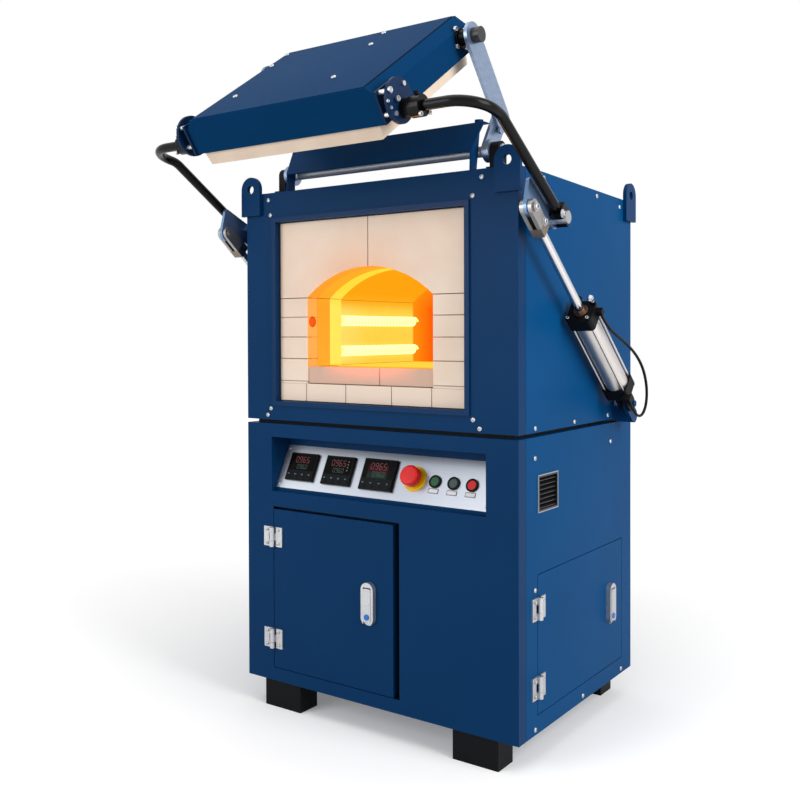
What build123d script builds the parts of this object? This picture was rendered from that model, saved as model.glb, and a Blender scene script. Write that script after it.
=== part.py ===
from build123d import *
from math import atan2, cos, degrees, hypot, pi, radians, sin, sqrt, tan
import os

# A floor-standing cupellation furnace. X runs across the front, Y runs back from the front face, Z is up.
# The origin is on the floor, midway along the front face.

# Casing
WIDTH = 798.0
DEPTH = 623.0
FOOT_HEIGHT = 70.0
CABINET_HEIGHT = 660.0
SPACER_HEIGHT = 10.0
BODY_HEIGHT = 580.0
ROOF_FOLD = 105.0
ROOF_FALL = 14.0
SHEET = 2.0
CORNER_RETURN = 33.0
PANEL_SEAM = 1.0
SHEET_SEAM = 0.3

FOOT_WIDTH = 118.0
FOOT_DEPTH = 65.0
FOOT_INSET_SIDE = 54.0
FOOT_INSET_FRONT = 6.0
SPACER_INSET = 20.0
SPACER_WIDTH = 40.0

# Control recess: left, right, bottom and top of the opening, and the sloped panel in it
RECESS_LEFT = -316.0
RECESS_RIGHT = 318.0
RECESS_BOTTOM = 557.0
RECESS_TOP = 696.0
RECESS_WALL = 1.5
PANEL_CLEARANCE = 1.0
PANEL_FRONT = 16.0
PANEL_LOW = 565.5
PANEL_TILT = 26.0
PANEL_SLOPE = 115.7
PANEL_THICK = 3.0
CUTOUT_CLEARANCE = 0.4

# Controllers: left edge along the panel, bottom edge up the slope, width and height
CONTROLLERS = [(-289.0, 21.0, 89.0, 73.0), (-171.0, 20.0, 89.0, 74.5), (-51.0, 18.0, 97.5, 78.5)]
BEZEL_HEIGHT = 9.0
BEZEL_RIM = 5.0
HOUSING_DEPTH = 65.0
WINDOW_RISE = 1.2
WINDOW_SHARE = 0.66
KEY_COUNT = 4
KEY_WIDTH = 10.0
KEY_HEIGHT = 6.0
KEY_RISE = 1.5

# Switches on the sloped panel
STOP_HEAD_X = 102.0
STOP_HEAD_UP = 58.0
STOP_RING_RADIUS = 31.0
STOP_RING_THICK = 2.0
STOP_COLLAR_RADIUS = 16.0
STOP_COLLAR_HEIGHT = 8.0
STOP_HEAD_RADIUS = 24.5
STOP_HEAD_BOTTOM = 14.0
STOP_HEAD_THICK = 19.0
STOP_HEAD_ROUND = 6.0
STOP_STEM_RADIUS = 10.7
BUTTON_X = [160.0, 210.5, 260.0]
BUTTON_UP = 56.0
BUTTON_BEZEL_RADIUS = 15.5
BUTTON_BEZEL_HEIGHT = 4.5
BUTTON_CAP_RADIUS = 10.7
BUTTON_CAP_TOP = 4.0
BUTTON_CAP_THICK = 10.0
BUTTON_STEM_RADIUS = 4.0
BUTTON_STEM_LENGTH = 14.0
BARREL_RADIUS = 13.0
BARREL_BORE = 11.0
BARREL_DEPTH = 30.0
BARREL_END = 2.0
LABEL_WIDTH = 27.0
LABEL_HEIGHT = 11.0
LABEL_UP = 28.0
LABEL_THICK = 1.0

# Service doors: the edges of each opening, and of each leaf
FRONT_OPENING = (-311.0, 84.5, 103.0, 518.0)
FRONT_LEAF = (-309.0, 66.5, 105.0, 511.0)
SIDE_OPENING = (86.0, 562.0, 110.5, 425.0)
SIDE_LEAF = (88.0, 560.0, 112.5, 423.0)
LEAF_RETURN = 18.0
FRAME_DEPTH = 19.0
FRAME_WIDTH = 16.0
SEAL_LIP = 32.0
SEAL_THICK = 5.0
HINGE_FRONT_LOW = 155.0
HINGE_FRONT_HIGH = 415.5
HINGE_SIDE_LOW = 150.0
HINGE_SIDE_HIGH = 325.0
HINGE_LENGTH = 50.0
HINGE_PLATE_WIDTH = 24.0
HINGE_PLATE_THICK = 4.0
KNUCKLE_RADIUS = 6.5
KNUCKLE_LENGTH = 16.0
KNUCKLE_GAP = 0.5
HINGE_PIN_RADIUS = 3.0
HINGE_FIT = 0.05
HINGE_STANDOFF = 7.0
HINGE_SCREW_RADIUS = 4.0
HINGE_SCREW_RISE = 1.5

# Lever locks: centre across and middle height on each leaf
FRONT_LOCK = (-2.0, 316.5)
SIDE_LOCK = (480.0, 272.0)
LOCK_LENGTH = 103.0
LOCK_WIDTH = 36.0
LOCK_RISE = 12.0
LOCK_WALL = 6.5
LOCK_FLOOR = 2.0
LEVER_WIDTH = 22.0
LEVER_TOP_GAP = 14.0
LEVER_END_GAP = 9.0
LEVER_LIFT = 1.0
LEVER_SWING_ROOM = 2.5
LOCK_BUTTON_RADIUS = 7.0
LOCK_BUTTON_UP = 21.0
LOCK_BUTTON_TRAVEL = 2.0
LOCK_FIT = 0.3
LEVER_PIN_RADIUS = 1.5
LEVER_PIN_INSET = 3.0
LEVER_PIN_UP = 9.0
LEVER_PIN_FIT = 0.1

# Side louvre
VENT = (87.0, 186.0, 561.0, 645.0)
VENT_RIM = 6.0
VENT_RISE = 2.5
VENT_DEPTH = 14.0
SLAT_COUNT = 7
SLAT_THICK = 1.6
SLAT_TILT = 35.0
SLAT_REACH = 0.45

# Switchgear inside the cabinet
PLATE_FRONT = 596.0
PLATE_MARGIN = 60.0
DEVICE_WIDTH = 54.0
DEVICE_HEIGHT = 90.0
DEVICE_DEPTH = 80.0
DEVICE_COUNT = 6
DEVICE_PITCH = 92.0
DEVICE_ROW = 470.0
TRANSFORMER_SIZE = (220.0, 150.0, 170.0)

# Mouth of the furnace
MOUTH_OPENING = (-296.0, 266.0, 789.0, 1243.0)
TRIM_WIDTH = 12.0
TRIM_RISE = 5.0
TRIM_SCREW_OUT = 8.0
TRIM_WALL = 3.0
TRIM_SLEEVE = 12.4
BRICK_FACE = 13.0
BRICK_JOINT = 0.8
BRICK_CHAMFER = 1.5
RING_SEAMS = (53.0, 101.0, 149.0)
MOUTH_CENTRE = -17.0
MOUTH_HALF = 188.0
MOUTH_SILL = 878.0
MOUTH_SPRING = 1050.0
MOUTH_RISE = 71.0
COLUMN_SEAMS = (841.0, 897.5, 952.0, 1002.0, 1050.0)
BOTTOM_ROW_TOP = 835.0
BOTTOM_SEAMS = (-208.5, -83.0, 54.5, 168.0)
SILL_SEAM = 16.0
SILL_SETBACK = 4.0
ARCH_SEAM = -15.0
BURNER_HOLE_RADIUS = 14.0
BURNER_HOLE_Y = 33.0
BURNER_HOLE_UP = 990.0
BURNER_HOLE_DEPTH = 40.0

# Muffle chamber and its heating coils
CHAMBER_BACK = 520.0
CHAMBER_WALL_BACK = 40.0
CHAMBER_HALF = 212.4
CHAMBER_RISE = 80.0
INSULATION_JOINT = 0.5
COIL_RADIUS = 12.0
WIRE_RADIUS = 2.0
COIL_TURNS = 24
COIL_PITCH = 14.4
COIL_UPS = (914.0, 994.0)
COIL_WALL_GAP = 0.4

# Casing screws
SCREW_RADIUS = 6.5
SCREW_RISE = 4.0
SCREW_TAPER = 25.0
BODY_FRONT_SCREWS = [(-323.0, 1302.0), (309.0, 1302.0), (-327.0, 752.0), (303.0, 750.0)]
BODY_SIDE_SCREWS = [
    (75.0, 750.0), (275.0, 750.0), (470.0, 752.0), (118.0, 1306.0), (404.0, 1298.0), (546.0, 1286.0),
]
CABINET_SIDE_SCREWS = [
    (74.0, 684.0), (487.0, 684.0), (74.0, 392.0), (74.0, 83.0), (321.0, 83.0), (554.0, 83.0),
]
PANEL_SCREWS = [(-308.0, 106.6), (308.0, 106.6), (-308.0, 9.0), (308.0, 9.0)]
PANEL_SCREW_RADIUS = 4.0
PANEL_SCREW_RISE = 2.5

# Lifting lugs
LUG_WIDTH = 64.0
LUG_THICK = 10.0
LUG_BOTTOM = 1264.0
LUG_HOLE_UP = 68.0
LUG_HOLE_RADIUS = 11.0
LUG_SIDE_OVERHANG = 10.0
LUG_REAR_OVERHANG = 12.0
LUG_REAR_DROP = 11.0

# Raised door: the bottom edge of its outer face, and its tilt from level
DOOR_Y = -338.0
DOOR_Z = 1436.0
DOOR_TILT = 34.5
DOOR_LENGTH = 400.0
DOOR_HALF = 266.0
DOOR_FACE_HALF = 246.0
DOOR_BEVEL = 22.0
DOOR_SHELL = 80.0
DOOR_SHEET = 3.0
DOOR_FIBRE = 110.0
FIBRE_HALF = 247.0
FIBRE_EDGE = 4.0
FIBRE_TAPER = 5.0
FIBRE_CORE_MARGIN = 6.0
DOOR_SCREWS = [(-232.0, 378.0), (-226.0, 303.0), (-190.0, 108.0), (99.0, 106.0), (75.0, 303.0), (65.0, 379.0)]

# Closed door: its outer face and its bottom edge
CLOSED_Y = -98.0
CLOSED_Z = 792.0

# Door pivots along the door and in from its outer face, and the fixed pivots' distance behind the front
PIVOT_A = (33.0, 64.0)
PIVOT_B = (358.0, 40.0)
CRANK_Y = 76.0
TORQUE_Y = 62.0
HUB_BASE = (-6.0, 68.0, 10.0, 78.0)
HUB_BASE_THICK = 5.0
HUB_POSTS = [(7.0, 16.0), (0.0, 60.0), (57.0, 22.0), (61.0, 64.0)]
HUB_POST_RADIUS = 5.0
HUB_RADIUS = 46.0
HUB_CENTRE = (31.0, 46.0)
HUB_INNER = 22.0
HUB_THICK = 7.0
HUB_BOSS_RADIUS = 19.0
HUB_BOSS_LENGTH = 18.0
HUB_SCREW_RISE = 4.0
REAR_HUB_RADIUS = 17.0
REAR_HUB_LENGTH = 26.0

# Front lift arms
TUBE_RADIUS = 11.0
TUBE_PLANE = 460.0
TUBE_INNER = 290.0
TUBE_BEND = 68.0
TUBE_KNEE = (-185.0, 1386.0)
TUBE_KNEE_BEND = 60.0
TUBE_AIM_RISE = 6.0
TUBE_END_GAP = 18.0
RUNNING_FIT = 0.3
CLAMP_RADIUS = 22.0
CLAMP_INNER = 315.0
CLAMP_LENGTH = 26.0
END_BLOCK_WIDTH = 34.0
END_BLOCK_LENGTH = 44.0
END_BLOCK_INNER = 447.0
END_BLOCK_OUTER = 475.0

# Crank plates
CRANK_INNER = 438.0
CRANK_THICK = 8.0
CRANK_NOSE = 20.0
CRANK_HUB = 24.0
CRANK_WEB = (0.0, 1223.0)
CRANK_WEB_RADIUS = 8.0
CRANK_TOP = (-32.0, 1276.0)
CRANK_TOP_RADIUS = 8.0
CRANK_KNOB = (38.0, 1240.0)
CRANK_KNOB_RADIUS = 9.0
CRANK_KNOB_LENGTH = 12.0
CRANK_HOLE = 9.0
CRANK_SHAFT_RADIUS = 14.0
CRANK_SHAFT_FIT = 0.1
CRANK_FLANGE_RADIUS = 38.0
CRANK_FLANGE_THICK = 12.0
CRANK_BOSS_RADIUS = 24.0
CRANK_SHAFT_END = 480.0

# Cylinders: the fork pin on the crank, the rear pin, and the lengths along the axis
FORK_PIN = (-33.0, 1222.0)
REAR_PIN = (492.0, 782.0)
CYLINDER_PLANE = 442.0
EAR_RADIUS = 20.0
EAR_THICK = 9.0
EAR_GAP = 1.0
FORK_EAR_RADIUS = 17.0
FORK_BASE_START = 50.0
FORK_BASE_END = 73.0
PIN_RADIUS = 8.0
PIN_HEAD = 3.0
ROD_RADIUS = 10.0
ROD_FIT = 0.1
HEAD_SIZE = 62.0
HEAD_START = 330.0
HEAD_LENGTH = 34.0
HEAD_ROUND = 9.0
REAR_HEAD_END = 632.0
BARREL_TUBE_RADIUS = 28.5
BARREL_TUBE_WALL = 3.5
PISTON_GAP = 0.3
PISTON_THICK = 18.0
PISTON_INSET = 4.0
TIE_ROD_RADIUS = 2.5
TIE_ROD_OFFSET = 24.0
TIE_NUT_RADIUS = 5.0
TIE_NUT_RISE = 6.0
REAR_EAR_THICK = 8.0
REAR_EAR_BASE = 14.0
TONGUE_THICK = 9.0
TONGUE_WIDTH = 36.0
TONGUE_LENGTH = 52.0
TONGUE_BLOCK_START = 31.0
BRACKET_PLATE = (500.0, 566.0, 745.0, 812.0)
BRACKET_PLATE_THICK = 6.0
HOSE_RADIUS = 3.5
HOSE_OUT = 6.5
FITTING_SIZE = 14.0
FITTING_OUT = -12.0
RETURN_FITTING = (604.0, 620.0)
RETURN_OUT = 41.5

BEND_SHARE = 0.45

# Hose route: distances along the cylinder's axis from the fork pin, and out from the axis
HOSE_ROUTE = [
    (395.0, -12.0),
    (455.0, -32.0),
    (520.0, -58.0),
    (590.0, -76.0),
    (645.0, -76.0),
    (690.0, -56.0),
    (714.0, -22.0),
    (712.0, 14.0),
    (688.0, 37.0),
    (654.0, 41.5),
]

# Cross beam over the body, torque shaft and rear arms
BEAM_FRONT = (12.0, 1365.0)
BEAM_BACK = (54.0, 1436.0)
BEAM_HALF_LOW = 273.0
BEAM_HALF_HIGH = 284.0
BEAM_SHEET = 3.0
BEAM_LIP = 22.0
LEG_WIDTH = 26.0
BEAM_KNOB_X = 264.0
BEAM_KNOB_RADIUS = 10.0
BEAM_KNOB_HEIGHT = 7.0
SHAFT_RADIUS = 12.5
SHAFT_HALF = 330.0
BEARING_INNER = 304.0
BEARING_LENGTH = 22.0
BEARING_RADIUS = 19.0
BEARING_BASE = (70.0, 8.0)
SHAFT_FIT = 0.1
NECK_INNER = 286.5
NECK_THICK = 7.5
NECK_WIDTH = 52.0
NECK_BOSS_RADIUS = 26.0
NECK_BOSS_LENGTH = 16.5
BAR_THICK = 8.0
BAR_WIDTH = 60.0
BAR_KNEE = (110.0, 1448.0)
BAR_BOLT_PITCH = 34.0
BAR_BOLT_RADIUS = 8.0
BAR_BOLT_RISE = 5.0
CAP_RADIUS = 17.0
CAP_LENGTH = 20.0

# Worked-out levels and places
HALF = WIDTH / 2
CABINET_TOP = FOOT_HEIGHT + CABINET_HEIGHT
BODY_BOTTOM = CABINET_TOP + SPACER_HEIGHT
BODY_TOP = BODY_BOTTOM + BODY_HEIGHT
FLOOR = Plane.XY
FRONT = Plane(origin=(0, 0, 0), x_dir=(1, 0, 0), z_dir=(0, -1, 0))
SIDE = Plane(origin=(0, 0, 0), x_dir=(0, 1, 0), z_dir=(1, 0, 0))
PANEL = Plane(
    origin=(0, PANEL_FRONT, PANEL_LOW),
    x_dir=(1, 0, 0),
    z_dir=(0, -cos(radians(PANEL_TILT)), sin(radians(PANEL_TILT))),
)
DOOR_FACE = Plane(
    origin=(0, DOOR_Y, DOOR_Z),
    x_dir=(1, 0, 0),
    z_dir=(0, -sin(radians(DOOR_TILT)), cos(radians(DOOR_TILT))),
)
DOOR_END = Plane(
    origin=(0, DOOR_Y, DOOR_Z),
    x_dir=(1, 0, 0),
    z_dir=(0, cos(radians(DOOR_TILT)), sin(radians(DOOR_TILT))),
)


def door_point(along, inward):
    """Gives the side-view place of a point of the raised door."""
    tilt = radians(DOOR_TILT)
    return (
        DOOR_Y + along * cos(tilt) + inward * sin(tilt),
        DOOR_Z + along * sin(tilt) - inward * cos(tilt),
    )


def closed_point(along, inward):
    """Gives the side-view place of a point of the closed door."""
    return (CLOSED_Y + inward, CLOSED_Z + along)


def pivot_between(raised, closed, y):
    """Finds the height, at a given y, of the point that is as far from one place as from the other."""
    middle = ((raised[0] + closed[0]) / 2, (raised[1] + closed[1]) / 2)
    step = (closed[0] - raised[0], closed[1] - raised[1])
    return (y, middle[1] - step[0] * (y - middle[0]) / step[1])


def towards(start, end, distance):
    """Gives the point at a distance from start on the way to end."""
    length = hypot(end[0] - start[0], end[1] - start[1])
    return (
        start[0] + (end[0] - start[0]) * distance / length,
        start[1] + (end[1] - start[1]) * distance / length,
    )


def slab(plane, a0, a1, b0, b1, d0, d1, mode=Mode.ADD):
    """Adds a box between two corners on a plane and two heights above it."""
    with BuildSketch(plane.offset(d0)) as face:
        with Locations(((a0 + a1) / 2, (b0 + b1) / 2)):
            Rectangle(abs(a1 - a0), abs(b1 - b0))
    extrude(face.sketch, amount=d1 - d0, mode=mode)


def drum(plane, a, b, radius, d0, d1, bore=0.0, mode=Mode.ADD):
    """Adds a cylinder, or a tube where a bore is given, standing on a plane."""
    with BuildSketch(plane.offset(d0)) as face:
        with Locations((a, b)):
            Circle(radius)
            if bore > 0:
                Circle(bore, mode=Mode.SUBTRACT)
    extrude(face.sketch, amount=d1 - d0, mode=mode)


def prism(plane, points, d0, d1, mode=Mode.ADD):
    """Adds a straight-sided prism with the given outline."""
    with BuildSketch(plane.offset(d0)) as face:
        with BuildLine():
            Polyline(*points, close=True)
        make_face()
    extrude(face.sketch, amount=d1 - d0, mode=mode)


def bar(plane, start, end, width, d0, d1, mode=Mode.ADD):
    """Adds a flat bar with round ends between two points of a plane."""
    length = hypot(end[0] - start[0], end[1] - start[1])
    angle = degrees(atan2(end[1] - start[1], end[0] - start[0]))
    with BuildSketch(plane.offset(d0)) as face:
        with Locations(((start[0] + end[0]) / 2, (start[1] + end[1]) / 2)):
            SlotCenterToCenter(length, width, rotation=angle)
    extrude(face.sketch, amount=d1 - d0, mode=mode)


def strip(start, end, width):
    """Gives the corners of a square-ended strip of a given width between two points."""
    length = hypot(end[0] - start[0], end[1] - start[1])
    across = ((start[1] - end[1]) * width / (2 * length), (end[0] - start[0]) * width / (2 * length))
    return [
        (start[0] + across[0], start[1] + across[1]),
        (start[0] - across[0], start[1] - across[1]),
        (end[0] - across[0], end[1] - across[1]),
        (end[0] + across[0], end[1] + across[1]),
    ]


def arch(plane, centre, half, low, spring, rise, d0, d1, mode=Mode.SUBTRACT):
    """Cuts or adds an opening with upright sides and a segmental arch above them."""
    with BuildSketch(plane.offset(d0)) as face:
        with BuildLine():
            Line((centre - half, spring), (centre - half, low))
            Line((centre - half, low), (centre + half, low))
            Line((centre + half, low), (centre + half, spring))
            ThreePointArc((centre + half, spring), (centre, spring + rise), (centre - half, spring))
        make_face()
    extrude(face.sketch, amount=d1 - d0, mode=mode)


def ring(plane, inner, outer, d0, d1, mode=Mode.ADD):
    """Adds a rectangular ring between two outlines, each given as left, right, low and high."""
    with BuildSketch(plane.offset(d0)) as face:
        with Locations(((outer[0] + outer[1]) / 2, (outer[2] + outer[3]) / 2)):
            Rectangle(outer[1] - outer[0], outer[3] - outer[2])
        with Locations(((inner[0] + inner[1]) / 2, (inner[2] + inner[3]) / 2)):
            Rectangle(inner[1] - inner[0], inner[3] - inner[2], mode=Mode.SUBTRACT)
    extrude(face.sketch, amount=d1 - d0, mode=mode)


def grown(edges, amount):
    """Moves all four edges of an outline outwards."""
    return (edges[0] - amount, edges[1] + amount, edges[2] - amount, edges[3] + amount)


def front_edges(bricks):
    """Finds the edges of the brick faces that look out of the mouth."""
    deepest = BRICK_FACE + SILL_SETBACK + BRICK_JOINT
    faces = bricks.faces().filter_by(Axis.Y).filter_by_position(Axis.Y, 0, deepest)
    return faces.edges()


def bend_radii(points):
    """Gives each inner point of a hose's path as large an arc as its two runs allow."""
    radii = []
    for before, here, after in zip(points[:-2], points[1:-1], points[2:]):
        turn = radians((here - before).get_angle(after - here))
        shorter = min((here - before).length, (after - here).length)
        radii.append(BEND_SHARE * shorter / tan(turn / 2))
    return radii


def save(piece, name):
    """Labels a finished piece and writes its file."""
    piece.part.label = name
    export_step(piece.part, "parts/" + name + ".step")


# The linkage: the door's two pivots, raised and closed, and the fixed pivots halfway between them
RAISED_A = door_point(*PIVOT_A)
RAISED_B = door_point(*PIVOT_B)
CRANK = pivot_between(RAISED_A, closed_point(*PIVOT_A), CRANK_Y)
TORQUE = pivot_between(RAISED_B, closed_point(*PIVOT_B), TORQUE_Y)
AXIS_LENGTH = hypot(REAR_PIN[0] - FORK_PIN[0], REAR_PIN[1] - FORK_PIN[1])
AXIS_DIRECTION = ((REAR_PIN[0] - FORK_PIN[0]) / AXIS_LENGTH, (REAR_PIN[1] - FORK_PIN[1]) / AXIS_LENGTH)

os.makedirs("parts", exist_ok=True)

# Four feet: black blocks under the corners
with BuildPart() as feet:
    for across in (-1, 1):
        outer = across * (HALF - FOOT_INSET_SIDE)
        inner = outer - across * FOOT_WIDTH
        for near in (FOOT_INSET_FRONT, DEPTH - FOOT_INSET_FRONT - FOOT_DEPTH):
            slab(FLOOR, inner, outer, near, near + FOOT_DEPTH, 0, FOOT_HEIGHT)
save(feet, "feet")

# Cabinet shell: base, top, rear and left side, each a flat sheet
INSIDE_HALF = HALF - SHEET - SHEET_SEAM
INSIDE_BACK = DEPTH - SHEET - SHEET_SEAM
SIDE_START = CORNER_RETURN + PANEL_SEAM
with BuildPart() as cabinet_shell:
    for low in (FOOT_HEIGHT, CABINET_TOP - SHEET):
        slab(FLOOR, -INSIDE_HALF, INSIDE_HALF, SHEET, INSIDE_BACK, low, low + SHEET)
    slab(FLOOR, -HALF, HALF, DEPTH - SHEET, DEPTH, FOOT_HEIGHT, CABINET_TOP)
    slab(FLOOR, -HALF, SHEET - HALF, SIDE_START, INSIDE_BACK, FOOT_HEIGHT, CABINET_TOP)
save(cabinet_shell, "cabinet_shell")

# Cabinet front: a sheet folded round both corners, open for the controls and the service door
with BuildPart() as cabinet_front:
    slab(FLOOR, -HALF, HALF, 0, CORNER_RETURN, FOOT_HEIGHT, CABINET_TOP)
    slab(
        FLOOR, SHEET - HALF, HALF - SHEET, SHEET, CORNER_RETURN + SHEET,
        FOOT_HEIGHT, CABINET_TOP, mode=Mode.SUBTRACT,
    )
    slab(
        FRONT, RECESS_LEFT, RECESS_RIGHT, RECESS_BOTTOM, RECESS_TOP,
        -CORNER_RETURN, SHEET, mode=Mode.SUBTRACT,
    )
    slab(FRONT, *FRONT_OPENING, -CORNER_RETURN, SHEET, mode=Mode.SUBTRACT)
save(cabinet_front, "cabinet_front")

# Cabinet right side: a flat sheet, open for the side door and the louvre
with BuildPart() as cabinet_right_side:
    slab(SIDE, SIDE_START, INSIDE_BACK, FOOT_HEIGHT, CABINET_TOP, HALF - SHEET, HALF)
    slab(SIDE, *SIDE_OPENING, HALF - CORNER_RETURN, HALF + SHEET, mode=Mode.SUBTRACT)
    slab(SIDE, *grown(VENT, -VENT_RIM / 2), HALF - CORNER_RETURN, HALF + SHEET, mode=Mode.SUBTRACT)
save(cabinet_right_side, "cabinet_right_side")

# Spacer rails: the dark gap between the cabinet and the furnace body
with BuildPart() as spacer_rails:
    for near in (SPACER_INSET, DEPTH - SPACER_INSET - SPACER_WIDTH):
        slab(
            FLOOR, SPACER_INSET - HALF, HALF - SPACER_INSET, near, near + SPACER_WIDTH,
            CABINET_TOP, BODY_BOTTOM,
        )
    for across in (-1, 1):
        outer = across * (HALF - SPACER_INSET)
        slab(
            FLOOR, outer, outer - across * SPACER_WIDTH,
            SPACER_INSET + SPACER_WIDTH, DEPTH - SPACER_INSET - SPACER_WIDTH,
            CABINET_TOP, BODY_BOTTOM,
        )
save(spacer_rails, "spacer_rails")

# Control recess: sheet cheeks, ledge, ceiling and the strip behind the top of the sloped panel
PANEL_TOP_Y = PANEL_FRONT + PANEL_SLOPE * sin(radians(PANEL_TILT))
PANEL_TOP_Z = PANEL_LOW + PANEL_SLOPE * cos(radians(PANEL_TILT))
RECESS_BACK = PANEL_TOP_Y + PANEL_THICK
with BuildPart() as control_recess:
    slab(
        FLOOR, RECESS_LEFT - RECESS_WALL, RECESS_RIGHT + RECESS_WALL, SHEET, RECESS_BACK,
        RECESS_BOTTOM - RECESS_WALL, RECESS_TOP + RECESS_WALL,
    )
    prism(
        SIDE,
        [
            (0, RECESS_BOTTOM),
            (PANEL_FRONT, RECESS_BOTTOM),
            (PANEL_FRONT, PANEL_LOW),
            (PANEL_TOP_Y, PANEL_TOP_Z),
            (PANEL_TOP_Y, RECESS_TOP),
            (0, RECESS_TOP),
        ],
        RECESS_LEFT, RECESS_RIGHT, mode=Mode.SUBTRACT,
    )
    prism(
        SIDE,
        [
            (PANEL_FRONT + RECESS_WALL, RECESS_BOTTOM - 2 * RECESS_WALL),
            (PANEL_FRONT + RECESS_WALL, RECESS_BOTTOM),
            (PANEL_FRONT, PANEL_LOW),
            (PANEL_TOP_Y, PANEL_TOP_Z),
            (PANEL_TOP_Y + RECESS_WALL, RECESS_TOP),
            (RECESS_BACK + 1, RECESS_TOP),
            (RECESS_BACK + 1, RECESS_BOTTOM - 2 * RECESS_WALL),
        ],
        RECESS_LEFT, RECESS_RIGHT, mode=Mode.SUBTRACT,
    )
save(control_recess, "control_recess")

# Sloped control panel: a brushed plate with cutouts for the controllers and the switches
HOUSING_INSET = BEZEL_RIM - CUTOUT_CLEARANCE
with BuildPart() as control_panel:
    slab(
        PANEL, RECESS_LEFT + PANEL_CLEARANCE, RECESS_RIGHT - PANEL_CLEARANCE, 0, PANEL_SLOPE,
        -PANEL_THICK, 0,
    )
    for left, low, wide, high in CONTROLLERS:
        slab(
            PANEL, left + HOUSING_INSET, left + wide - HOUSING_INSET,
            low + HOUSING_INSET, low + high - HOUSING_INSET,
            -2 * PANEL_THICK, PANEL_THICK, mode=Mode.SUBTRACT,
        )
    for across, up in [(STOP_HEAD_X, STOP_HEAD_UP)] + [(x, BUTTON_UP) for x in BUTTON_X]:
        drum(
            PANEL, across, up, BARREL_RADIUS + CUTOUT_CLEARANCE,
            -2 * PANEL_THICK, PANEL_THICK, mode=Mode.SUBTRACT,
        )
save(control_panel, "control_panel")

# Controllers: each a bezel on the panel and a housing behind it
with BuildPart() as controllers:
    for left, low, wide, high in CONTROLLERS:
        slab(PANEL, left, left + wide, low, low + high, 0, BEZEL_HEIGHT)
        slab(
            PANEL, left + BEZEL_RIM, left + wide - BEZEL_RIM, low + BEZEL_RIM, low + high - BEZEL_RIM,
            -HOUSING_DEPTH, 0,
        )
    chamfer(controllers.faces().sort_by(PANEL.location.z_axis)[-3:].edges(), BRICK_CHAMFER)
save(controllers, "controllers")

# Display windows: a smooth pane over the upper part of each bezel
with BuildPart() as controller_windows:
    for left, low, wide, high in CONTROLLERS:
        top = low + high - BEZEL_RIM
        bottom = top - (high - 2 * BEZEL_RIM) * WINDOW_SHARE
        slab(
            PANEL, left + BEZEL_RIM, left + wide - BEZEL_RIM, bottom, top,
            BEZEL_HEIGHT, BEZEL_HEIGHT + WINDOW_RISE,
        )
save(controller_windows, "controller_windows")

# Controller keys: a row of small keys under each window
with BuildPart() as controller_keys:
    for left, low, wide, high in CONTROLLERS:
        for index in range(KEY_COUNT):
            middle = left + wide * (index + 0.5) / KEY_COUNT
            slab(
                PANEL, middle - KEY_WIDTH / 2, middle + KEY_WIDTH / 2,
                low + BEZEL_RIM, low + BEZEL_RIM + KEY_HEIGHT,
                BEZEL_HEIGHT, BEZEL_HEIGHT + KEY_RISE,
            )
save(controller_keys, "controller_keys")

# Emergency-stop ring: a flat disc under the stop head's collar
with BuildPart() as stop_ring:
    drum(
        PANEL, STOP_HEAD_X, STOP_HEAD_UP, STOP_RING_RADIUS, 0, STOP_RING_THICK,
        bore=BARREL_RADIUS + CUTOUT_CLEARANCE,
    )
save(stop_ring, "stop_ring")

# Switch bezels: the collar and barrel of the stop switch, and the bezel and barrel of each button
with BuildPart() as switch_bezels:
    drum(PANEL, STOP_HEAD_X, STOP_HEAD_UP, STOP_COLLAR_RADIUS, STOP_RING_THICK, STOP_COLLAR_HEIGHT)
    drum(PANEL, STOP_HEAD_X, STOP_HEAD_UP, BARREL_RADIUS, -BARREL_DEPTH, STOP_RING_THICK)
    drum(
        PANEL, STOP_HEAD_X, STOP_HEAD_UP, BARREL_BORE, BARREL_END - BARREL_DEPTH,
        STOP_COLLAR_HEIGHT + 1, mode=Mode.SUBTRACT,
    )
    for across in BUTTON_X:
        drum(PANEL, across, BUTTON_UP, BUTTON_BEZEL_RADIUS, 0, BUTTON_BEZEL_HEIGHT)
        drum(PANEL, across, BUTTON_UP, BARREL_RADIUS, -BARREL_DEPTH, 0)
        drum(
            PANEL, across, BUTTON_UP, BARREL_BORE, BARREL_END - BARREL_DEPTH,
            BUTTON_BEZEL_HEIGHT + 1, mode=Mode.SUBTRACT,
        )
save(switch_bezels, "switch_bezels")

# Stop head: a red mushroom on a stem that slides in the barrel
with BuildPart() as stop_head:
    drum(
        PANEL, STOP_HEAD_X, STOP_HEAD_UP, STOP_HEAD_RADIUS,
        STOP_HEAD_BOTTOM, STOP_HEAD_BOTTOM + STOP_HEAD_THICK,
    )
    fillet(stop_head.edges().sort_by(PANEL.location.z_axis)[-1], STOP_HEAD_ROUND)
    drum(PANEL, STOP_HEAD_X, STOP_HEAD_UP, STOP_STEM_RADIUS, -BARREL_DEPTH / 2, STOP_HEAD_BOTTOM)
save(stop_head, "stop_head")

# Push buttons: three caps, each on a stem inside its barrel
for name, across in zip(("start_button", "centre_button", "stop_button"), BUTTON_X):
    with BuildPart() as button:
        drum(PANEL, across, BUTTON_UP, BUTTON_CAP_RADIUS, BUTTON_CAP_TOP - BUTTON_CAP_THICK, BUTTON_CAP_TOP)
        drum(
            PANEL, across, BUTTON_UP, BUTTON_STEM_RADIUS,
            BUTTON_CAP_TOP - BUTTON_CAP_THICK - BUTTON_STEM_LENGTH, BUTTON_CAP_TOP - BUTTON_CAP_THICK,
        )
    save(button, name)

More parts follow.
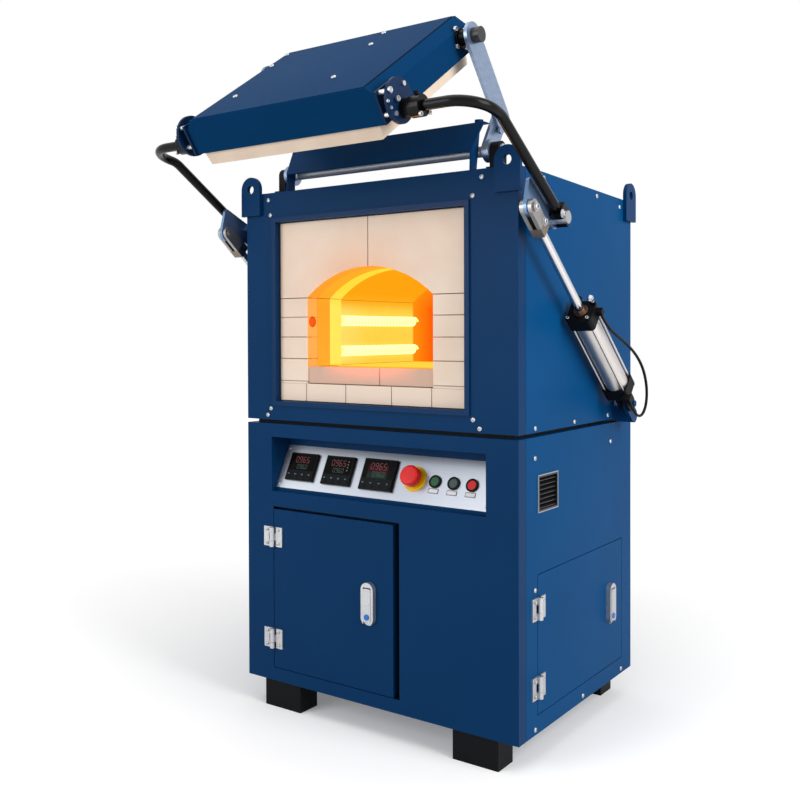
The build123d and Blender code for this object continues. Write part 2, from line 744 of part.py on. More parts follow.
# Label plates: a blank plate under each button
with BuildPart() as label_plates:
    for across in BUTTON_X:
        slab(
            PANEL, across - LABEL_WIDTH / 2, across + LABEL_WIDTH / 2,
            LABEL_UP, LABEL_UP + LABEL_HEIGHT, 0, LABEL_THICK,
        )
save(label_plates, "label_plates")

# Service doors: each opening's plane, its edges, the leaf's edges, the hinge heights and the lock's place
DOOR_FRONT = FRONT
DOOR_SIDE = SIDE.offset(HALF)
SERVICE_DOORS = [
    ("front", DOOR_FRONT, FRONT_OPENING, FRONT_LEAF, (HINGE_FRONT_LOW, HINGE_FRONT_HIGH), FRONT_LOCK),
    ("side", DOOR_SIDE, SIDE_OPENING, SIDE_LEAF, (HINGE_SIDE_LOW, HINGE_SIDE_HIGH), SIDE_LOCK),
]

# Stop frames: a steel ring behind the edge of each opening
with BuildPart() as door_frames:
    for title, plane, opening, leaf, hinges, lock in SERVICE_DOORS:
        ring(plane, opening, grown(opening, FRAME_WIDTH), -FRAME_DEPTH, -SHEET)
save(door_frames, "door_frames")

# Door seals: a rubber ring behind each stop frame that the closed leaf meets
with BuildPart() as door_seals:
    for title, plane, opening, leaf, hinges, lock in SERVICE_DOORS:
        ring(
            plane, grown(opening, -SEAL_LIP), grown(opening, FRAME_WIDTH),
            -FRAME_DEPTH - SEAL_THICK, -FRAME_DEPTH,
        )
save(door_seals, "door_seals")

# Fixed hinge halves: plate, outer knuckles and pin, screwed beside each opening
with BuildPart() as hinge_fixed_halves:
    for title, plane, opening, leaf, hinges, lock in SERVICE_DOORS:
        axis = leaf[0] - PANEL_SEAM / 2
        level = Plane(
            origin=plane.origin + plane.z_dir * HINGE_STANDOFF + plane.x_dir * axis,
            x_dir=plane.x_dir,
            z_dir=(0, 0, 1),
        )
        for low in hinges:
            slab(
                plane, axis - KNUCKLE_RADIUS - HINGE_PLATE_WIDTH, axis - HINGE_FIT, low, low + HINGE_LENGTH,
                0, HINGE_PLATE_THICK,
            )
            slab(
                plane, axis - KNUCKLE_RADIUS - HINGE_STANDOFF, axis + KNUCKLE_RADIUS,
                low + KNUCKLE_LENGTH - KNUCKLE_GAP, low + HINGE_LENGTH - KNUCKLE_LENGTH + KNUCKLE_GAP,
                -1, 2 * HINGE_STANDOFF, mode=Mode.SUBTRACT,
            )
            for base in (low, low + HINGE_LENGTH - KNUCKLE_LENGTH):
                drum(level, 0, 0, KNUCKLE_RADIUS, base, base + KNUCKLE_LENGTH - KNUCKLE_GAP)
            drum(level, 0, 0, HINGE_PIN_RADIUS, low, low + HINGE_LENGTH)
            for up in (low + KNUCKLE_LENGTH / 2, low + HINGE_LENGTH - KNUCKLE_LENGTH / 2):
                drum(
                    plane, axis - KNUCKLE_RADIUS - HINGE_PLATE_WIDTH / 2, up, HINGE_SCREW_RADIUS,
                    HINGE_PLATE_THICK, HINGE_PLATE_THICK + HINGE_SCREW_RISE,
                )
save(hinge_fixed_halves, "hinge_fixed_halves")

for title, plane, opening, leaf, hinges, lock in SERVICE_DOORS:
    axis = leaf[0] - PANEL_SEAM / 2
    level = Plane(
        origin=plane.origin + plane.z_dir * HINGE_STANDOFF + plane.x_dir * axis,
        x_dir=plane.x_dir,
        z_dir=(0, 0, 1),
    )

    # Leaf: a sheet pan with its edges folded back
    with BuildPart() as door_leaf:
        slab(plane, *leaf, -LEAF_RETURN, 0)
        slab(plane, *grown(leaf, -SHEET), -LEAF_RETURN - 1, -SHEET, mode=Mode.SUBTRACT)
    save(door_leaf, title + "_door_leaf")

    # Fittings on the leaf: the moving hinge halves, and the lock's housing with its trough and cross pin
    pin_up = lock[1] + LOCK_LENGTH / 2 - LEVER_TOP_GAP - LEVER_PIN_INSET
    pin_plane = Plane(
        origin=plane.from_local_coords((lock[0], pin_up, LEVER_PIN_UP)),
        z_dir=plane.x_dir,
    )
    pin_reach = LEVER_WIDTH / 2 + LEVER_PIN_RADIUS
    with BuildPart() as fittings:
        for low in hinges:
            slab(
                plane, axis + HINGE_FIT, axis + KNUCKLE_RADIUS + HINGE_PLATE_WIDTH, low, low + HINGE_LENGTH,
                0, HINGE_PLATE_THICK,
            )
            for base in (low, low + HINGE_LENGTH - KNUCKLE_LENGTH):
                slab(
                    plane, axis - KNUCKLE_RADIUS, axis + KNUCKLE_RADIUS + HINGE_STANDOFF / 2,
                    base - KNUCKLE_GAP, base + KNUCKLE_LENGTH, -1, 2 * HINGE_STANDOFF, mode=Mode.SUBTRACT,
                )
            drum(
                level, 0, 0, KNUCKLE_RADIUS, low + KNUCKLE_LENGTH, low + HINGE_LENGTH - KNUCKLE_LENGTH,
                bore=HINGE_PIN_RADIUS + HINGE_FIT,
            )
            drum(
                level, 0, 0, HINGE_PIN_RADIUS + HINGE_FIT, low, low + HINGE_LENGTH, mode=Mode.SUBTRACT,
            )
            for up in (low + KNUCKLE_LENGTH / 2, low + HINGE_LENGTH - KNUCKLE_LENGTH / 2):
                drum(
                    plane, axis + KNUCKLE_RADIUS + HINGE_PLATE_WIDTH / 2, up, HINGE_SCREW_RADIUS,
                    HINGE_PLATE_THICK, HINGE_PLATE_THICK + HINGE_SCREW_RISE,
                )
        with BuildSketch(plane) as housing_face:
            with Locations(lock):
                SlotOverall(LOCK_LENGTH, LOCK_WIDTH, rotation=90)
        extrude(housing_face.sketch, amount=LOCK_RISE)
        slab(
            plane, lock[0] - LEVER_WIDTH / 2 - LOCK_FIT, lock[0] + LEVER_WIDTH / 2 + LOCK_FIT,
            lock[1] - LOCK_LENGTH / 2 + LEVER_END_GAP - LOCK_FIT,
            lock[1] + LOCK_LENGTH / 2 - LEVER_TOP_GAP + LEVER_SWING_ROOM,
            LOCK_FLOOR, LOCK_RISE + 1, mode=Mode.SUBTRACT,
        )
        slab(
            plane, lock[0] - LEVER_WIDTH / 2 - LOCK_FIT, lock[0] + LEVER_WIDTH / 2 + LOCK_FIT,
            lock[1] - LOCK_LENGTH / 2 - 1, lock[1] - LOCK_LENGTH / 2 + LEVER_END_GAP,
            LOCK_RISE - LOCK_WALL, LOCK_RISE + 1, mode=Mode.SUBTRACT,
        )
        drum(pin_plane, 0, 0, LEVER_PIN_RADIUS, -pin_reach, pin_reach)
    save(fittings, title + "_door_fittings")

    # Lever: a flat handle that flips out about a cross pin near its top, bored for the release button
    lever_low = lock[1] - LOCK_LENGTH / 2 + LEVER_END_GAP
    lever_high = lock[1] + LOCK_LENGTH / 2 - LEVER_TOP_GAP
    button_up = lock[1] - LOCK_LENGTH / 2 + LOCK_BUTTON_UP
    lever_base = LOCK_FLOOR + LEVER_LIFT
    with BuildPart() as lever:
        with BuildSketch(plane.offset(lever_base)) as lever_face:
            with Locations((lock[0], (lever_low + lever_high) / 2)):
                RectangleRounded(LEVER_WIDTH, lever_high - lever_low, LEVER_WIDTH / 4)
        extrude(lever_face.sketch, amount=LOCK_RISE + LEVER_LIFT - lever_base)
        drum(
            plane, lock[0], button_up, LOCK_BUTTON_RADIUS + LOCK_FIT,
            LOCK_FLOOR + LEVER_LIFT + SHEET, LOCK_RISE + 2 * LEVER_LIFT, mode=Mode.SUBTRACT,
        )
        drum(pin_plane, 0, 0, LEVER_PIN_RADIUS + LEVER_PIN_FIT, -pin_reach, pin_reach, mode=Mode.SUBTRACT)
    save(lever, title + "_lock_lever")

    # Release button: a small blue cap in the lever
    with BuildPart() as release:
        drum(
            plane, lock[0], button_up, LOCK_BUTTON_RADIUS,
            lever_base + SHEET + LOCK_BUTTON_TRAVEL + LOCK_FIT, LOCK_RISE + LEVER_LIFT + LOCK_BUTTON_TRAVEL,
        )
    save(release, title + "_lock_button")

# Louvre: a thin frame with tilted slats in the right side
with BuildPart() as vent_grille:
    ring(DOOR_SIDE, grown(VENT, -VENT_RIM), VENT, 0, VENT_RISE)
    ring(DOOR_SIDE, grown(VENT, -VENT_RIM), grown(VENT, -VENT_RIM / 2 - CUTOUT_CLEARANCE), -VENT_DEPTH, 0)
    slat_span = VENT[3] - VENT[2] - 2 * VENT_RIM
    slat_pitch = slat_span / SLAT_COUNT
    for index in range(SLAT_COUNT):
        up = VENT[2] + VENT_RIM + slat_pitch * (index + 0.5)
        reach = VENT_DEPTH * SLAT_REACH
        lean = reach * sin(radians(SLAT_TILT))
        prism(
            Plane(origin=(0, VENT[0] + VENT_RIM, 0), x_dir=(1, 0, 0), z_dir=(0, 1, 0)),
            [
                (HALF - VENT_DEPTH / 2 - reach, -(up + lean)),
                (HALF - VENT_DEPTH / 2 - reach, -(up + lean + SLAT_THICK)),
                (HALF - VENT_DEPTH / 2 + reach, -(up - lean + SLAT_THICK)),
                (HALF - VENT_DEPTH / 2 + reach, -(up - lean)),
            ],
            0, VENT[1] - VENT[0] - 2 * VENT_RIM,
        )
save(vent_grille, "vent_grille")

# Switchgear: a plate against the rear of the cabinet with a row of devices, and a transformer on the base
with BuildPart() as switchgear:
    slab(
        FLOOR, PLATE_MARGIN - HALF, HALF - PLATE_MARGIN, PLATE_FRONT, DEPTH - SHEET,
        FOOT_HEIGHT + PLATE_MARGIN, CABINET_TOP - PLATE_MARGIN,
    )
    for index in range(DEVICE_COUNT):
        middle = (index - (DEVICE_COUNT - 1) / 2) * DEVICE_PITCH
        slab(
            FLOOR, middle - DEVICE_WIDTH / 2, middle + DEVICE_WIDTH / 2,
            PLATE_FRONT - DEVICE_DEPTH, PLATE_FRONT, DEVICE_ROW, DEVICE_ROW + DEVICE_HEIGHT,
        )
    slab(
        FLOOR, -TRANSFORMER_SIZE[0] / 2, TRANSFORMER_SIZE[0] / 2,
        PLATE_FRONT - TRANSFORMER_SIZE[1], PLATE_FRONT,
        FOOT_HEIGHT + SHEET, FOOT_HEIGHT + SHEET + TRANSFORMER_SIZE[2],
    )
save(switchgear, "switchgear")

# Body front: a sheet folded round both corners, open for the mouth
with BuildPart() as body_front:
    slab(FLOOR, -HALF, HALF, 0, CORNER_RETURN, BODY_BOTTOM, BODY_TOP)
    slab(
        FLOOR, SHEET - HALF, HALF - SHEET, SHEET, CORNER_RETURN + SHEET,
        BODY_BOTTOM, BODY_TOP, mode=Mode.SUBTRACT,
    )
    slab(FRONT, *grown(MOUTH_OPENING, TRIM_WALL), -CORNER_RETURN, SHEET, mode=Mode.SUBTRACT)
save(body_front, "body_front")

# Body panels: sides, rear and bottom sheets, and a top sheet that falls towards the rear
ROOF_BACK = BODY_TOP - ROOF_FALL
with BuildPart() as body_panels:
    slab(FLOOR, -INSIDE_HALF, INSIDE_HALF, SHEET, INSIDE_BACK, BODY_BOTTOM, BODY_BOTTOM + SHEET)
    prism(
        SIDE,
        [
            (SHEET, BODY_TOP),
            (ROOF_FOLD, BODY_TOP),
            (INSIDE_BACK, ROOF_BACK),
            (INSIDE_BACK, ROOF_BACK - SHEET),
            (ROOF_FOLD, BODY_TOP - SHEET),
            (SHEET, BODY_TOP - SHEET),
        ],
        -INSIDE_HALF, INSIDE_HALF,
    )
    slab(FLOOR, -HALF, HALF, DEPTH - SHEET, DEPTH, BODY_BOTTOM, ROOF_BACK)
    for across in (-1, 1):
        prism(
            SIDE,
            [
                (SIDE_START, BODY_BOTTOM),
                (INSIDE_BACK, BODY_BOTTOM),
                (INSIDE_BACK, ROOF_BACK),
                (ROOF_FOLD, BODY_TOP),
                (SIDE_START, BODY_TOP),
            ],
            across * (HALF - SHEET), across * HALF,
        )
save(body_panels, "body_panels")

# Mouth trim: a raised flange round the opening with a sleeve that holds the bricks' edges
with BuildPart() as mouth_trim:
    ring(FRONT, MOUTH_OPENING, grown(MOUTH_OPENING, TRIM_WIDTH), 0, TRIM_RISE)
    ring(
        FRONT, MOUTH_OPENING, grown(MOUTH_OPENING, TRIM_WALL - CUTOUT_CLEARANCE / 2),
        -TRIM_SLEEVE, 0,
    )
save(mouth_trim, "mouth_trim")

# Lifting lugs: round-topped plates on the front corners and on the sides at the rear
LUG_ROUND = LUG_WIDTH / 2
with BuildPart() as lifting_lugs:
    for across in (-1, 1):
        centre = across * (HALF + LUG_SIDE_OVERHANG - LUG_ROUND)
        drum(FRONT, centre, LUG_BOTTOM + LUG_HOLE_UP, LUG_ROUND, 0, LUG_THICK)
        slab(
            FRONT, centre - LUG_ROUND, centre + LUG_ROUND, LUG_BOTTOM, LUG_BOTTOM + LUG_HOLE_UP,
            0, LUG_THICK,
        )
        drum(FRONT, centre, LUG_BOTTOM + LUG_HOLE_UP, LUG_HOLE_RADIUS, -1, LUG_THICK + 1, mode=Mode.SUBTRACT)
        rear = DEPTH + LUG_REAR_OVERHANG - LUG_ROUND
        rear_low = LUG_BOTTOM - LUG_REAR_DROP
        start = across * HALF
        drum(SIDE, rear, rear_low + LUG_HOLE_UP, LUG_ROUND, start, start + across * LUG_THICK)
        slab(
            SIDE, rear - LUG_ROUND, rear + LUG_ROUND, rear_low, rear_low + LUG_HOLE_UP,
            start, start + across * LUG_THICK,
        )
        drum(
            SIDE, rear, rear_low + LUG_HOLE_UP, LUG_HOLE_RADIUS,
            start - across, start + across * (LUG_THICK + 1), mode=Mode.SUBTRACT,
        )
save(lifting_lugs, "lifting_lugs")

# Casing screws: round heads on the body, the cabinet side and the corners of the sloped panel
trim_edges = grown(MOUTH_OPENING, TRIM_WIDTH + TRIM_SCREW_OUT)
trim_corners = [(x, z) for x in trim_edges[:2] for z in trim_edges[2:]]
with BuildPart() as casing_screws:
    for plane, places, radius, rise in [
        (FRONT, BODY_FRONT_SCREWS + trim_corners, SCREW_RADIUS, SCREW_RISE),
        (DOOR_SIDE, BODY_SIDE_SCREWS + CABINET_SIDE_SCREWS, SCREW_RADIUS, SCREW_RISE),
        (PANEL, PANEL_SCREWS, PANEL_SCREW_RADIUS, PANEL_SCREW_RISE),
    ]:
        for across, up in places:
            with BuildSketch(plane) as head_face:
                with Locations((across, up)):
                    Circle(radius)
            extrude(head_face.sketch, amount=rise, taper=SCREW_TAPER)
save(casing_screws, "casing_screws")

# Front brickwork: blocks with fine joints between them
BRICK_LEFT = MOUTH_OPENING[0] - TRIM_WALL
BRICK_RIGHT = MOUTH_OPENING[1] + TRIM_WALL
BRICK_TOP = MOUTH_OPENING[3] + TRIM_WALL
BRICK_BOTTOM = MOUTH_OPENING[2] - TRIM_WALL
MOUTH_LEFT = MOUTH_CENTRE - MOUTH_HALF
MOUTH_RIGHT = MOUTH_CENTRE + MOUTH_HALF
with BuildPart() as column_bricks:
    for left, right in ((BRICK_LEFT, MOUTH_LEFT), (MOUTH_RIGHT, BRICK_RIGHT)):
        for low, high in zip(COLUMN_SEAMS[:-1], COLUMN_SEAMS[1:]):
            slab(FRONT, left, right, low, high - BRICK_JOINT, -RING_SEAMS[0] + BRICK_JOINT, -BRICK_FACE)
    chamfer(front_edges(column_bricks), BRICK_CHAMFER)
    drum(
        SIDE, BURNER_HOLE_Y, BURNER_HOLE_UP, BURNER_HOLE_RADIUS,
        MOUTH_LEFT - BURNER_HOLE_DEPTH, MOUTH_LEFT + 1, mode=Mode.SUBTRACT,
    )
save(column_bricks, "column_bricks")

# Bottom row of bricks and the two sill bricks above it
with BuildPart() as sill_bricks:
    edges = (BRICK_LEFT,) + BOTTOM_SEAMS + (BRICK_RIGHT + BRICK_JOINT,)
    for left, right in zip(edges[:-1], edges[1:]):
        slab(
            FRONT, left, right - BRICK_JOINT, BRICK_BOTTOM, BOTTOM_ROW_TOP,
            -RING_SEAMS[0] + BRICK_JOINT, -BRICK_FACE,
        )
    for left, right in ((MOUTH_LEFT, SILL_SEAM), (SILL_SEAM, MOUTH_RIGHT - BRICK_JOINT)):
        slab(
            FRONT, left + BRICK_JOINT, right, BOTTOM_ROW_TOP + BRICK_JOINT, MOUTH_SILL,
            -RING_SEAMS[0] + BRICK_JOINT, -BRICK_FACE - SILL_SETBACK,
        )
    chamfer(front_edges(sill_bricks), BRICK_CHAMFER)
save(sill_bricks, "sill_bricks")

# Arch blocks: two large blocks that meet over the mouth
with BuildPart() as arch_bricks:
    for left, right in ((BRICK_LEFT, ARCH_SEAM), (ARCH_SEAM + BRICK_JOINT, BRICK_RIGHT)):
        slab(FRONT, left, right, COLUMN_SEAMS[-1], BRICK_TOP, -RING_SEAMS[0] + BRICK_JOINT, -BRICK_FACE)
    arch(
        FRONT, MOUTH_CENTRE, MOUTH_HALF, MOUTH_SPRING - 1, MOUTH_SPRING, MOUTH_RISE,
        -RING_SEAMS[0] - 1, 1,
    )
    chamfer(front_edges(arch_bricks), BRICK_CHAMFER)
save(arch_bricks, "arch_bricks")

# Lining rings: two deeper rings, each of two columns, a sill and an arched head
with BuildPart() as lining_rings:
    for near, far in zip(RING_SEAMS[:-1], RING_SEAMS[1:]):
        for left, right in ((BRICK_LEFT, MOUTH_LEFT), (MOUTH_RIGHT, BRICK_RIGHT)):
            slab(FRONT, left, right, MOUTH_SILL, MOUTH_SPRING - BRICK_JOINT, -far + BRICK_JOINT, -near)
        slab(
            FRONT, BRICK_LEFT, BRICK_RIGHT, BRICK_BOTTOM, MOUTH_SILL - BRICK_JOINT,
            -far + BRICK_JOINT, -near,
        )
        slab(FRONT, BRICK_LEFT, BRICK_RIGHT, MOUTH_SPRING, BRICK_TOP, -far + BRICK_JOINT, -near)
        arch(
            FRONT, MOUTH_CENTRE, MOUTH_HALF, MOUTH_SPRING - BRICK_JOINT / 2, MOUTH_SPRING, MOUTH_RISE,
            -far, -near + BRICK_JOINT / 2,
        )
save(lining_rings, "lining_rings")

# Muffle chamber: hearth, side walls, arched roof and rear wall behind the lining
CHAMBER_FRONT = RING_SEAMS[-1]
with BuildPart() as muffle_chamber:
    slab(
        FRONT, BRICK_LEFT, BRICK_RIGHT, BRICK_BOTTOM, MOUTH_SILL - BRICK_JOINT,
        -CHAMBER_BACK, -CHAMBER_FRONT,
    )
    for left, right in (
        (BRICK_LEFT, MOUTH_CENTRE - CHAMBER_HALF),
        (MOUTH_CENTRE + CHAMBER_HALF, BRICK_RIGHT),
    ):
        slab(
            FRONT, left, right, MOUTH_SILL, MOUTH_SPRING - BRICK_JOINT, -CHAMBER_BACK, -CHAMBER_FRONT,
        )
    slab(FRONT, BRICK_LEFT, BRICK_RIGHT, MOUTH_SPRING, BRICK_TOP, -CHAMBER_BACK, -CHAMBER_FRONT)
    arch(
        FRONT, MOUTH_CENTRE, CHAMBER_HALF, MOUTH_SPRING - BRICK_JOINT / 2, MOUTH_SPRING, CHAMBER_RISE,
        -CHAMBER_BACK - 1, -CHAMBER_FRONT + 1,
    )
    slab(
        FRONT, BRICK_LEFT, BRICK_RIGHT, BRICK_BOTTOM, BRICK_TOP,
        -CHAMBER_BACK - CHAMBER_WALL_BACK, -CHAMBER_BACK - BRICK_JOINT,
    )
save(muffle_chamber, "muffle_chamber")


def coil_point(centre, turn, hand):
    """Gives the place on a coil's centre line after some turns, and its direction there."""
    angle = hand * turn * 2 * pi
    along = turn * COIL_PITCH
    place = centre + Vector(COIL_RADIUS * cos(angle), along, COIL_RADIUS * sin(angle))
    rate = COIL_PITCH / (2 * pi)
    direction = Vector(-hand * COIL_RADIUS * sin(angle), rate, hand * COIL_RADIUS * cos(angle))
    return place, direction.normalized()


def biarc(start, heading, end, ending):
    """Draws two arcs that meet smoothly between two places with given directions."""
    chord = end - start
    both = heading + ending
    lead = heading.dot(ending) - 1
    slope = chord.dot(both)
    reach = (slope - sqrt(slope * slope - 2 * lead * chord.dot(chord))) / (2 * lead)
    near = start + heading * reach
    far = end - ending * reach
    middle = (near + far) * 0.5
    TangentArc(start, middle, tangent=heading)
    TangentArc(middle, end, tangent=far - near)


# Heating coils: two wound wires along each side wall of the chamber
COIL_START = CHAMBER_FRONT + COIL_PITCH / 2
coil_gap = COIL_PITCH - 2 * WIRE_RADIUS
print("least gap between coil turns", round(coil_gap, 2))
with BuildPart() as heating_coils:
    for across in (-1, 1):
        wall = MOUTH_CENTRE + across * CHAMBER_HALF
        for up in COIL_UPS:
            centre = Vector(wall - across * (COIL_RADIUS + WIRE_RADIUS + COIL_WALL_GAP), COIL_START, up)
            with BuildLine() as route:
                for half in range(2 * COIL_TURNS):
                    start, heading = coil_point(centre, half / 2, across)
                    end, ending = coil_point(centre, (half + 1) / 2, across)
                    biarc(start, heading, end, ending)
            first, first_heading = coil_point(centre, 0, across)
            with BuildSketch(Plane(origin=first, z_dir=first_heading)) as wire:
                Circle(WIRE_RADIUS)
            sweep(wire.sketch, path=route.wires()[0])
save(heating_coils, "heating_coils")

# Fibre insulation: packed slabs between the brickwork and the casing
FILL_LEFT = SHEET - HALF
FILL_RIGHT = HALF - SHEET
FILL_BOTTOM = BODY_BOTTOM + SHEET
FILL_TOP = BODY_TOP - SHEET
with BuildPart() as fibre_insulation:
    for left, right in (
        (FILL_LEFT, BRICK_LEFT - INSULATION_JOINT),
        (BRICK_RIGHT + INSULATION_JOINT, FILL_RIGHT),
    ):
        slab(FRONT, left, right, FILL_BOTTOM, FILL_TOP, SHEET - DEPTH, -SHEET)
    slab(
        FRONT, BRICK_LEFT, BRICK_RIGHT, FILL_BOTTOM, BRICK_BOTTOM - INSULATION_JOINT,
        SHEET - DEPTH, -SHEET,
    )
    slab(
        FRONT, BRICK_LEFT, BRICK_RIGHT, BRICK_TOP + INSULATION_JOINT, FILL_TOP,
        SHEET - DEPTH, -SHEET,
    )
    slab(
        FRONT, BRICK_LEFT, BRICK_RIGHT, BRICK_BOTTOM, BRICK_TOP,
        SHEET - DEPTH, -CHAMBER_BACK - CHAMBER_WALL_BACK - INSULATION_JOINT,
    )
    prism(
        SIDE,
        [
            (ROOF_FOLD, FILL_TOP),
            (DEPTH, ROOF_BACK - 2 * SHEET),
            (DEPTH, BODY_TOP),
            (ROOF_FOLD, BODY_TOP),
        ],
        -HALF, HALF, mode=Mode.SUBTRACT,
    )
save(fibre_insulation, "fibre_insulation")

# Cross beam: a folded heat shield over the front of the body on two legs, with a small knob
BEAM_PLANE = Plane(
    origin=(0, BEAM_FRONT[0], BEAM_FRONT[1]),
    x_dir=(1, 0, 0),
    z_dir=(0, BEAM_FRONT[1] - BEAM_BACK[1], BEAM_BACK[0] - BEAM_FRONT[0]),
)
BEAM_SLOPE = hypot(BEAM_BACK[0] - BEAM_FRONT[0], BEAM_BACK[1] - BEAM_FRONT[1])
with BuildPart() as cross_beam:
    prism(
        BEAM_PLANE,
        [
            (-BEAM_HALF_LOW, 0),
            (BEAM_HALF_LOW, 0),
            (BEAM_HALF_HIGH, BEAM_SLOPE),
            (-BEAM_HALF_HIGH, BEAM_SLOPE),
        ],
        -BEAM_SHEET, 0,
    )
    slab(
        FLOOR, -BEAM_HALF_HIGH, BEAM_HALF_HIGH, BEAM_BACK[0], BEAM_BACK[0] + BEAM_LIP,
        BEAM_BACK[1] - BEAM_SHEET, BEAM_BACK[1],
    )
    for across in (-1, 1):
        outer = across * BEAM_HALF_LOW
        prism(
            SIDE,
            [
                (BEAM_FRONT[0], BODY_TOP),
                (BEAM_FRONT[0] + LEG_WIDTH, BODY_TOP),
                (BEAM_BACK[0] + 2, BEAM_BACK[1] - BEAM_SHEET),
                (BEAM_FRONT[0] + 2, BEAM_FRONT[1]),
            ],
            outer, outer - across * BEAM_SHEET,
        )
    drum(
        FLOOR, BEAM_KNOB_X, BEAM_BACK[0] + BEAM_LIP / 2, BEAM_KNOB_RADIUS,
        BEAM_BACK[1], BEAM_BACK[1] + BEAM_KNOB_HEIGHT,
    )
save(cross_beam, "cross_beam")

# Bearing blocks: the torque shaft's two bearings on the body top
with BuildPart() as bearing_blocks:
    for across in (-1, 1):
        inner = across * BEARING_INNER
        outer = across * (BEARING_INNER + BEARING_LENGTH)
        slab(
            SIDE, TORQUE[0] - BEARING_BASE[0] / 2, TORQUE[0] + BEARING_BASE[0] / 2,
            BODY_TOP, BODY_TOP + BEARING_BASE[1], inner, outer,
        )
        slab(
            SIDE, TORQUE[0] - BEARING_RADIUS, TORQUE[0] + BEARING_RADIUS,
            BODY_TOP + BEARING_BASE[1], TORQUE[1], inner, outer,
        )
        drum(SIDE, *TORQUE, BEARING_RADIUS, inner, outer)
        drum(SIDE, *TORQUE, SHAFT_RADIUS + SHAFT_FIT, inner - across, outer + across, mode=Mode.SUBTRACT)
save(bearing_blocks, "bearing_blocks")

# Pivot mounts: the crank shafts on the body sides, and the cylinders' rear brackets
TONGUE_END = towards(REAR_PIN, FORK_PIN, -TONGUE_LENGTH)
TONGUE_MID = towards(REAR_PIN, FORK_PIN, -TONGUE_BLOCK_START - EAR_RADIUS / 2)
with BuildPart() as pivot_mounts:
    for across in (-1, 1):
        start = across * HALF
        drum(SIDE, *CRANK, CRANK_FLANGE_RADIUS, start, start + across * CRANK_FLANGE_THICK)
        drum(SIDE, *CRANK, CRANK_BOSS_RADIUS, start, across * (CRANK_INNER - 1))
        drum(SIDE, *CRANK, CRANK_SHAFT_RADIUS, start, across * CRANK_SHAFT_END)
        tongue_inner = across * (CYLINDER_PLANE - TONGUE_THICK / 2)
        tongue_outer = across * (CYLINDER_PLANE + TONGUE_THICK / 2)
        bar(SIDE, REAR_PIN, TONGUE_END, TONGUE_WIDTH, tongue_inner, tongue_outer)
        bar(SIDE, TONGUE_MID, TONGUE_END, TONGUE_WIDTH, start, tongue_outer)
        slab(SIDE, *BRACKET_PLATE, start, start + across * BRACKET_PLATE_THICK)
        drum(
            SIDE, *REAR_PIN, PIN_RADIUS,
            across * (CYLINDER_PLANE - TONGUE_THICK / 2 - 2 * EAR_THICK),
            across * (CYLINDER_PLANE + TONGUE_THICK / 2 + 2 * EAR_THICK),
        )
save(pivot_mounts, "pivot_mounts")

# Lift arm tubes: each runs out from the door's hub, turns back along the body and ends on the crank
TUBE_AIM = (CRANK[0], CRANK[1] + TUBE_AIM_RISE)
TUBE_END = towards(TUBE_AIM, TUBE_KNEE, TUBE_END_GAP)
BLOCK_START = towards(TUBE_AIM, TUBE_KNEE, END_BLOCK_LENGTH / 2)
BLOCK_END = towards(TUBE_AIM, TUBE_KNEE, -END_BLOCK_LENGTH / 2)
with BuildPart() as lift_arm_tubes:
    for across in (-1, 1):
        with BuildLine() as route:
            FilletPolyline(
                (across * TUBE_INNER, *RAISED_A),
                (across * TUBE_PLANE, *RAISED_A),
                (across * TUBE_PLANE, *TUBE_KNEE),
                (across * TUBE_PLANE, *TUBE_END),
                radius=[TUBE_BEND, TUBE_KNEE_BEND],
            )
        with BuildSketch(Plane(origin=(across * TUBE_INNER, *RAISED_A), z_dir=(across, 0, 0))) as section:
            Circle(TUBE_RADIUS)
        sweep(section.sketch, path=route.wires()[0])
        drum(
            SIDE, *RAISED_A, CLAMP_RADIUS,
            across * CLAMP_INNER, across * (CLAMP_INNER + CLAMP_LENGTH),
        )
        prism(
            SIDE, strip(BLOCK_START, BLOCK_END, END_BLOCK_WIDTH),
            across * END_BLOCK_INNER, across * END_BLOCK_OUTER,
        )
        drum(
            SIDE, *CRANK, CRANK_SHAFT_RADIUS + CRANK_SHAFT_FIT,
            across * (END_BLOCK_INNER - 1), across * (END_BLOCK_OUTER + 1), mode=Mode.SUBTRACT,
        )
save(lift_arm_tubes, "lift_arm_tubes")

# Crank plates: from each crank shaft to the rod fork's place, with a knob
with BuildPart() as crank_plates:
    for across in (-1, 1):
        inner = across * CRANK_INNER
        outer = across * (CRANK_INNER + CRANK_THICK)
        for ends in (
            ((FORK_PIN, CRANK_NOSE), (CRANK_TOP, CRANK_TOP_RADIUS), (CRANK_WEB, CRANK_WEB_RADIUS)),
            ((CRANK, CRANK_HUB), (CRANK_TOP, CRANK_TOP_RADIUS), (CRANK_WEB, CRANK_WEB_RADIUS)),
        ):
            with BuildSketch(SIDE.offset(inner)) as crank_face:
                with BuildLine():
                    for place, radius in ends:
                        CenterArc(place, radius, 0, 360)
                make_hull()
            extrude(crank_face.sketch, amount=outer - inner)
        drum(SIDE, *FORK_PIN, CRANK_HOLE, inner - across, outer + across, mode=Mode.SUBTRACT)
        drum(
            SIDE, *CRANK, CRANK_SHAFT_RADIUS + CRANK_SHAFT_FIT,
            inner - across, outer + across, mode=Mode.SUBTRACT,
        )
        drum(
            SIDE, *CRANK_KNOB, CRANK_KNOB_RADIUS, inner, inner - across * CRANK_KNOB_LENGTH,
        )
save(crank_plates, "crank_plates")

